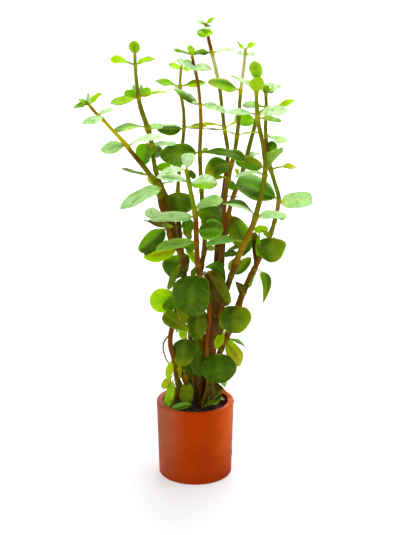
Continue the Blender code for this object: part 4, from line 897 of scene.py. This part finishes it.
def grow_stem(growth, stem):
    """A smooth, slightly fluted stem that swells at its leaf nodes."""
    route = SHOOTS[stem][1]
    low, high = route[0][2], route[-1][2]
    steps = max(12, int((high - low) / STEM_STEP))
    heights = np.linspace(low, high, steps + 1)
    centres = stem_line(stem, heights)
    nodes = np.zeros_like(heights)
    for height in leaf_heights(stem):
        nodes = np.maximum(nodes, np.exp(-((heights - height + NODE_DROP) / NODE_LENGTH) ** 2))
    radii = stem_radius(stem, heights) * (1 + NODE_SWELL * nodes)
    phase = random.Random(stem).uniform(0, 6)
    radii *= sum((size * np.sin(heights * turns + phase) for size, turns in STEM_WAVES), 1)
    radii[-len(STEM_END):] *= STEM_END
    rings = tube_rings(centres * MM, radii * MM, STEM_SIDES, STEM_FLUTES)
    share = (nodes * (0.2 + 0.5 * smooth(*YOUNG_FROM, heights)))[:, None]
    colours = skin_colours(stem, heights) * (1 - share) + linear(SKIN_TONES["yellow"]) * share
    tints = np.repeat(colours[:, None], STEM_SIDES, axis=1)
    growth.add(rings, (centres[0] * MM, centres[-1] * MM), tints)


def grow_strand(growth, route, radius, colour, sides, taper):
    """A thin root or fibre through points given in millimetres."""
    points = np.array(route, float)
    share = np.linspace(0, 1, len(points))
    fine = np.linspace(0, 1, 6 * len(points))
    centres = np.stack([np.interp(fine, share, points[:, axis]) for axis in range(3)], axis=-1)
    for _ in range(4):
        centres[1:-1] = (centres[:-2] + centres[2:] + 2 * centres[1:-1]) / 4
    rings = tube_rings(centres * MM, radius * MM * (1 - taper * fine), sides)
    growth.add(rings, (centres[0] * MM, centres[-1] * MM), np.broadcast_to(linear(colour), rings.shape))


# Leaves

def blade_axes(reach, roll):
    """The leaf's upper face and width directions; a positive roll shows the face to -Y."""
    along = unit(reach)
    up = unit(UP - along * along[2])
    side = np.cross(along, up)
    lean = math.radians(roll) * (1 if reach[0] >= 0 else -1)
    face = up * math.cos(lean) + side * math.sin(lean)
    return face, np.cross(face, along)


def outline(share, stalk, form):
    """Half the leaf's width along its length, as a share of the widest half."""
    blunt, pointed = form
    spread = np.clip((share - stalk) / (1 - stalk), 0, 1)
    widest = blunt / (blunt + pointed)
    peak = widest ** blunt * (1 - widest) ** pointed
    return spread ** blunt * (1 - spread) ** pointed / peak


def tone(name, side=0):
    return linear(TONES[name][side])


def leaf_tints(rng, share, across, under, half, name, look):
    """The colour of each vertex of a leaf, from its own tone and what is special about it."""
    face = np.broadcast_to(tone(name), (*share.shape, 3))
    if "sides" in look:
        left, right = look["sides"]
        face = towards(np.broadcast_to(tone(left), face.shape), tone(right), smooth(-0.15, 0.15, across))
    if "blend" in look:
        middle = np.exp(-((share - 0.5) / 0.22) ** 2 - across ** 2 / 0.3)
        face = towards(face, tone(look["blend"]), 0.75 * middle)
    colours = towards(face, tone(name, 1), under)
    weights = {
        "base": 0.85 * smooth(0.42, 0.12, share),
        "tip": 0.85 * smooth(0.60, 0.88, share),
        "edge": 0.8 * smooth(0.72, 0.95, np.abs(across)),
    }
    for part, weight in weights.items():
        if part in look:
            colours = towards(colours, tone(look[part]), weight)
    rib = tone(look["rib"]) if "rib" in look else tone("lime") * 0.7 + colours * 0.3
    rib_share = np.exp(-(half * across / RIB_TINT_SPREAD) ** 2) * smooth(1.0, 0.6, share)
    colours = towards(colours, rib, (0.55 if "rib" in look else 0.22) * rib_share)
    stalk_share = 0.7 * smooth(look["stalk"] + 0.08, look["stalk"] * 0.4, share)
    colours = towards(colours, linear(SKIN_TONES["yellow"]), stalk_share)
    for place, side, radius, spot in look.get("spots", ()):
        away = ((share - place) / 0.05) ** 2 + ((across - side) / 0.18) ** 2
        colours = towards(colours, tone(spot), np.exp(-away / (radius * radius)))
    brightness = rng.uniform(0.93, 1.07)
    warmth = rng.uniform(-0.05, 0.05)
    return np.clip(colours * brightness * np.array((1 + warmth, 1, 1 - warmth)), 0, 1)


def grow_leaf(growth, seed, stem, plan, kind):
    """One closed leaf: stalk, cupped blade, sunk midrib, quilted side veins and a slightly wavy edge."""
    rng = random.Random(seed)
    depth, stalk, rows, columns = kind
    # Pale leaves get a painted sheen of light on the upper face unless their row says otherwise
    look = {"form": OVAL, "stalk": stalk, "cup": 0.12, "wave": 0.35, "bow": (0, 0, 0),
            "sheen": 0.75 if plan.colour == "pale" else 0.0, "sheen_side": (-2, -1), **plan.look}
    base = leaf_base(stem, plan, depth)
    reach = np.array(plan.reach, float) * MM
    width = plan.width * MM
    length = np.linalg.norm(reach)
    face, across_axis = blade_axes(reach, plan.roll)
    share = (1 - np.cos(np.pi * np.linspace(0, 1, rows + 1)[1:-1])) / 2
    turn = np.concatenate((np.linspace(-1, 1, columns + 1), np.linspace(1, -1, columns + 1)[1:-1]))
    turn = np.sin(turn * math.pi / 2)
    under = np.concatenate((np.zeros(columns + 1), np.ones(columns - 1)))
    stalk_half = min(STALK_RADIUS, STALK_SHARE * width + STALK_LEAST)
    blade = outline(share, look["stalk"], look["form"]) * width / 2
    half = np.maximum(blade, stalk_half * smooth(1.02, 0.9, share))
    s, v = np.meshgrid(share, turn, indexing="ij")
    down = np.broadcast_to(under, s.shape)
    h = half[:, None]
    in_blade = smooth(look["stalk"] * 0.8, look["stalk"] + 0.10, s)
    rim = np.sqrt(np.clip(1 - v * v, 0, 1))
    thick = stalk_half * (1 - in_blade) * 0.9 + BLADE_THICKNESS / 2 * in_blade * (0.6 + 0.4 * rim)
    body = thick * np.minimum(1, rim * 1.6)
    rib = RIB_RADIUS * np.exp(-(v * h / RIB_SPREAD) ** 2) * in_blade * smooth(1.0, 0.5, s)
    quilt = np.abs(np.sin(math.pi * (s * VEIN_PAIRS - np.abs(v) * VEIN_SWEEP)))
    quilt = VEIN_RELIEF * quilt * in_blade * (1 - v ** 4) * min(1, width / VEIN_FULL_WIDTH)
    h = h * (1 + OUTLINE_UNEVEN * in_blade * np.sin(s * 7 + rng.uniform(0, 6) + np.sign(v) * 1.3))
    wave = look["wave"] * MM * np.sin(s * 9 + rng.uniform(0, 6)) * v * np.abs(v) * in_blade
    wave += 0.5 * look["wave"] * MM * np.sin(s * 15 + v * 2 + rng.uniform(0, 6)) * v * v * in_blade
    lift = look["cup"] * np.abs(v) ** 1.5 * h + wave + quilt - 0.5 * rib
    lift = lift + np.where(down > 0, -body - 0.8 * rib, body)
    bend = across_axis * (4 * length * rng.uniform(-SIDE_BEND, SIDE_BEND))
    bow = face * (4 * plan.arch * length) + bend + np.array(look["bow"], float) * MM * 4
    spine = base + reach * s[..., None] + bow * (s * (1 - s))[..., None]
    rings = spine + across_axis * (v * h)[..., None] + face * lift[..., None]
    tints = leaf_tints(rng, s, v, down, h, plan.colour, look)
    # Painted sheen of light on the upper face, on the side of the blade that the look picks
    sheen = look["sheen"] * (1 - down) * in_blade * smooth(*look["sheen_side"], v)
    growth.add(rings, (base, base + reach), tints, np.stack((s, v, sheen), axis=-1))


def leaf_base(stem, plan, depth):
    """The leaf's start: its own, or the stem's centre line moved out by a share of the radius."""
    if "start" in plan.look:
        return np.array(plan.look["start"], float) * MM
    centre = stem_line(stem, [plan.height])[0]
    outward = unit(np.array((plan.reach[0], plan.reach[1], 0.0)))
    return (centre + outward * stem_radius(stem, plan.height) * depth) * MM


def make_large_leaf(name, plan, skins, piece, node):
    """A large or fallen leaf as a piece of its own, in the place of its node."""
    growth = Growth()
    grow_leaf(growth, name, "stem_" + name[0], plan, LARGE_KIND)
    dress(growth.piece(piece + name, skins[plan.colour]), leaf_slot(plan.colour), node + name)


def make_shoot(stem, skin, skins):
    """The stem as one piece and its small leaves, which grow out of it, as one piece a colour."""
    growth = Growth()
    grow_stem(growth, stem)
    if stem in ROOTS:
        colour, radius, route = ROOTS[stem]
        grow_strand(growth, route, radius, colour, *ROOT_SHAPE)
    dress(growth.piece("shoot_" + stem[-1], skin), "stem_skin", stem)
    by_colour = {}
    for number, plan in enumerate(SMALL_LEAVES[stem]):
        growth = by_colour.setdefault(plan.colour, Growth())
        grow_leaf(growth, f"{stem}{number}", stem, plan, SMALL_KIND)
    for colour, growth in by_colour.items():
        dress(growth.piece(f"{colour}_leaves_{stem[-1]}", skins[colour]), leaf_slot(colour))


def leaf_slot(colour):
    return "leaf_" + SLOT_OF.get(colour, colour)


def dress(piece, slot, *nodes):
    """Every piece rides on the one body and hides the model's solids that it stands for; the slot is not
    used.
    """
    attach(piece, "root")
    if nodes:
        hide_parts(*nodes)


# Pot and growing medium

def inner_radius(height):
    """The inside of the pot's wall."""
    slope = (POT_RIM_RADIUS - POT_FOOT_RADIUS) / POT_HEIGHT
    return POT_FOOT_RADIUS + slope * height - POT_WALL


def arc(centre, radius, start, end, steps):
    """Points of an arc in the profile, between two angles in degrees."""
    angles = np.radians(np.linspace(start, end, steps + 1))
    return [(centre[0] + radius * math.cos(a), centre[1] + radius * math.sin(a)) for a in angles]


def turned_rings(profile, segments):
    """A profile of radii and heights turned about +Z, and the angle of each step."""
    radius, height = np.array(profile).T[..., None]
    angles = np.linspace(0, 2 * math.pi, segments, endpoint=False)
    x = radius * np.cos(angles)
    return np.stack((x, radius * np.sin(angles), np.broadcast_to(height, x.shape)), axis=-1), angles


def upright(start, end, steps):
    """Points of a straight line in the profile, without its ends."""
    shares = np.linspace(0, 1, steps + 1)[1:-1]
    return [(start[0] + (end[0] - start[0]) * t, start[1] + (end[1] - start[1]) * t) for t in shares]


def make_pot(skin):
    """The pot, turned from its profile, with small bumps on the lip and the wall."""
    lip, foot, top = POT_LIP_ROUND, POT_FOOT_ROUND, POT_HEIGHT
    rim_in = inner_radius(top)
    foot_in = inner_radius(POT_FLOOR)
    profile = [(POT_FOOT_RADIUS * share, 0.0) for share in (0.2, 0.5, 0.8)]
    profile += arc((POT_FOOT_RADIUS - foot, foot), foot, -90, 0, 8)
    profile += upright((POT_FOOT_RADIUS, foot), (POT_RIM_RADIUS, top - lip), 40)
    profile += arc((POT_RIM_RADIUS - lip, top - lip), lip, 0, 90, 8)
    profile += arc((rim_in + lip, top - lip), lip, 90, 180, 8)
    profile += upright((rim_in, top - lip), (foot_in, POT_FLOOR + lip), 24)
    profile += arc((foot_in - lip, POT_FLOOR + lip), lip, 0, -90, 4)
    profile += [(foot_in * share, POT_FLOOR) for share in (0.7, 0.4, 0.15)]
    rings, angles = turned_rings(profile, POT_SEGMENTS)
    height = rings[..., 2]
    turn = np.broadcast_to((angles + math.pi) % (2 * math.pi) - math.pi, height.shape)

    def patch(where, at, wide, tall):
        return np.exp(-((turn - where) / wide) ** 2 - ((height - at) / tall) ** 2)

    bumps = [[noise.noise(Vector(point) * POT_RIPPLE_SCALE) for point in ring] for ring in rings]
    bumps = POT_RIPPLE * np.array(bumps)
    for *place, size in POT_BUMPS:
        bumps = bumps + size * patch(*place)
    rings = rings + unit(rings * (1, 1, 0)) * (bumps * smooth(0.0005, 0.003, height))[..., None]
    tints = clay_tints(rings, height, rim_in)
    for place in POT_MARKS:
        tints = tints * (1 - POT_MARK_DEPTH * patch(*place)[..., None])
    growth = Growth()
    growth.add(rings, ((0, 0, 0), (0, 0, POT_FLOOR)), tints)
    dress(growth.piece("clay_pot", skin), "pot_clay", "pot")


def clay_tints(rings, height, rim_in):
    """Clay with a painted reflection towards -X, painted light towards +X, deeper towards the foot and dark
    inside.
    """
    x = rings[..., 0]
    foot_share = 0.6 * smooth(0.010, 0.001, height) + 0.35 * smooth(0.030, 0.012, height)
    # Painted reflection: the clay turns paler and greyer towards -X
    tints = towards(linear(CLAY), linear(CLAY_PAINTED_REFLECTION), 0.7 * smooth(-0.004, -0.022, x))
    # Painted light: the clay turns brighter towards +X
    tints = towards(tints, linear(CLAY_PAINTED_LIGHT), 0.8 * smooth(0.008, 0.023, x))
    tints = towards(tints, linear(CLAY_DEEP), foot_share)
    inside = np.linalg.norm(rings[..., :2], axis=-1) < rim_in + 0.0002
    return np.where(inside[..., None], tints * CLAY_INSIDE, tints)


def medium_height(x, y):
    """The top of the growing medium: lumpy, and lower towards the wall."""
    radius = math.hypot(x, y)
    wide = inner_radius(MEDIUM_TOP) - MEDIUM_WALL_GAP
    lumps = noise.fractal(Vector((x, y, 0.3)) * MEDIUM_LUMP_SCALE, 0.9, 2.1, 4)
    return MEDIUM_TOP - MEDIUM_SHOULDER_DROP * (radius / wide) ** 3 + MEDIUM_LUMPS * lumps


def make_medium(skin):
    """A plug of growing wool with a lumpy top, crumbs and root fibres on it."""
    foot = POT_FLOOR + MEDIUM_FOOT_GAP
    wide = inner_radius(MEDIUM_TOP) - MEDIUM_WALL_GAP
    profile = [(wide * share, MEDIUM_TOP) for share in np.linspace(0.03, 1, 34)]
    foot_wide = inner_radius(foot) - MEDIUM_WALL_GAP - MEDIUM_FOOT_INSET
    profile += upright((wide, MEDIUM_TOP - MEDIUM_SHOULDER), (foot_wide, foot), 8)
    profile += [(wide * share, foot) for share in (0.8, 0.4)]
    rings, _ = turned_rings(profile[::-1], MEDIUM_SEGMENTS)
    tints = np.empty_like(rings)
    dark, light = linear(MEDIUM_TONES)
    for row in range(len(rings)):
        for side in range(MEDIUM_SEGMENTS):
            x, y, z = rings[row, side]
            if z > MEDIUM_TOP - 0.0001:
                rings[row, side, 2] = medium_height(x, y)
            share = 0.5 + 0.5 * noise.noise(Vector((x, y, z)) * MEDIUM_GRAIN_SCALE)
            tints[row, side] = dark + (light - dark) * share ** 2
    growth = Growth()
    growth.add(rings, ((0, 0, foot), (0, 0, medium_height(0, 0))), tints)
    rng = random.Random(FIBRE_SEED)
    for _ in range(FIBRE_COUNT):
        grow_fibre(growth, rng, wide)
    dress(growth.piece("wool_plug", skin), "growing_wool", "growing_medium")


def grow_fibre(growth, rng, wide):
    """A root fibre that lies on the medium's top."""
    angle = rng.uniform(0, 2 * math.pi)
    radius = wide * math.sqrt(rng.uniform(0, 0.8))
    x, y = radius * math.cos(angle), radius * math.sin(angle)
    heading = rng.uniform(0, 2 * math.pi)
    route = []
    for _ in range(rng.randint(5, 9)):
        heading += rng.uniform(-0.7, 0.7)
        x += FIBRE_STEP * math.cos(heading)
        y += FIBRE_STEP * math.sin(heading)
        if math.hypot(x, y) > wide * 0.96:
            break
        route.append((x / MM, y / MM, medium_height(x, y) / MM + rng.uniform(-0.05, 0.35)))
    if len(route) > 2:
        colour = rng.choice(FIBRE_TONES)
        grow_strand(growth, route, rng.uniform(*FIBRE_RADIUS), colour, *FIBRE_SHAPE)


# Camera and light

def make_camera():
    camera = bpy.data.cameras.new("camera")
    camera.lens = CAMERA_LENS
    camera.sensor_width = CAMERA_SENSOR
    camera.sensor_fit = "AUTO"
    holder = shown("camera", camera)
    holder.location = CAMERA_PLACE
    holder.rotation_euler = (math.radians(90 - CAMERA_PITCH), 0, 0)
    bpy.context.scene.camera = holder


def make_floor():
    mesh = bpy.data.meshes.new("floor")
    turns = ((-1, -1), (1, -1), (1, 1), (-1, 1))
    corners = [(x * FLOOR_REACH, y * FLOOR_REACH, -FLOOR_DROP) for x, y in turns]
    mesh.from_pydata(corners, [], [(0, 1, 2, 3)])
    mesh.materials.append(floor_material())
    shown("floor", mesh)


def make_light():
    world = bpy.data.worlds.new("studio")
    world.use_nodes = True
    world.node_tree.nodes["Background"].inputs["Color"].default_value = (1, 1, 1, 1)
    world.node_tree.nodes["Background"].inputs["Strength"].default_value = WORLD_LIGHT
    bpy.context.scene.world = world
    for name, place, size, power in LAMPS:
        lamp = bpy.data.lights.new(name, "AREA")
        lamp.shape = "DISK"
        lamp.size = size
        lamp.energy = power
        holder = shown(name, lamp)
        holder.location = place
        holder.rotation_euler = (Vector(LAMP_AIM) - Vector(place)).to_track_quat("-Z", "Y").to_euler()
    view = bpy.context.scene.view_settings
    view.view_transform = "Standard"
    view.look = "None"


def main():
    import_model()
    make_camera()
    make_floor()
    make_light()
    skins = {name: leaf_material(f"leaf_{name}_fine") for name in TONES}
    skin = stem_material()
    make_pot(pot_material())
    make_medium(medium_material())
    for stem in SHOOTS:
        make_shoot(stem, skin, skins)
    for name, plan in LARGE_LEAVES.items():
        make_large_leaf(name, plan, skins, "blade_", "leaf_")
    for name, plan in FALLEN_LEAVES.items():
        make_large_leaf(name, plan, skins, "fallen_blade_", "wilted_leaf_")


main()
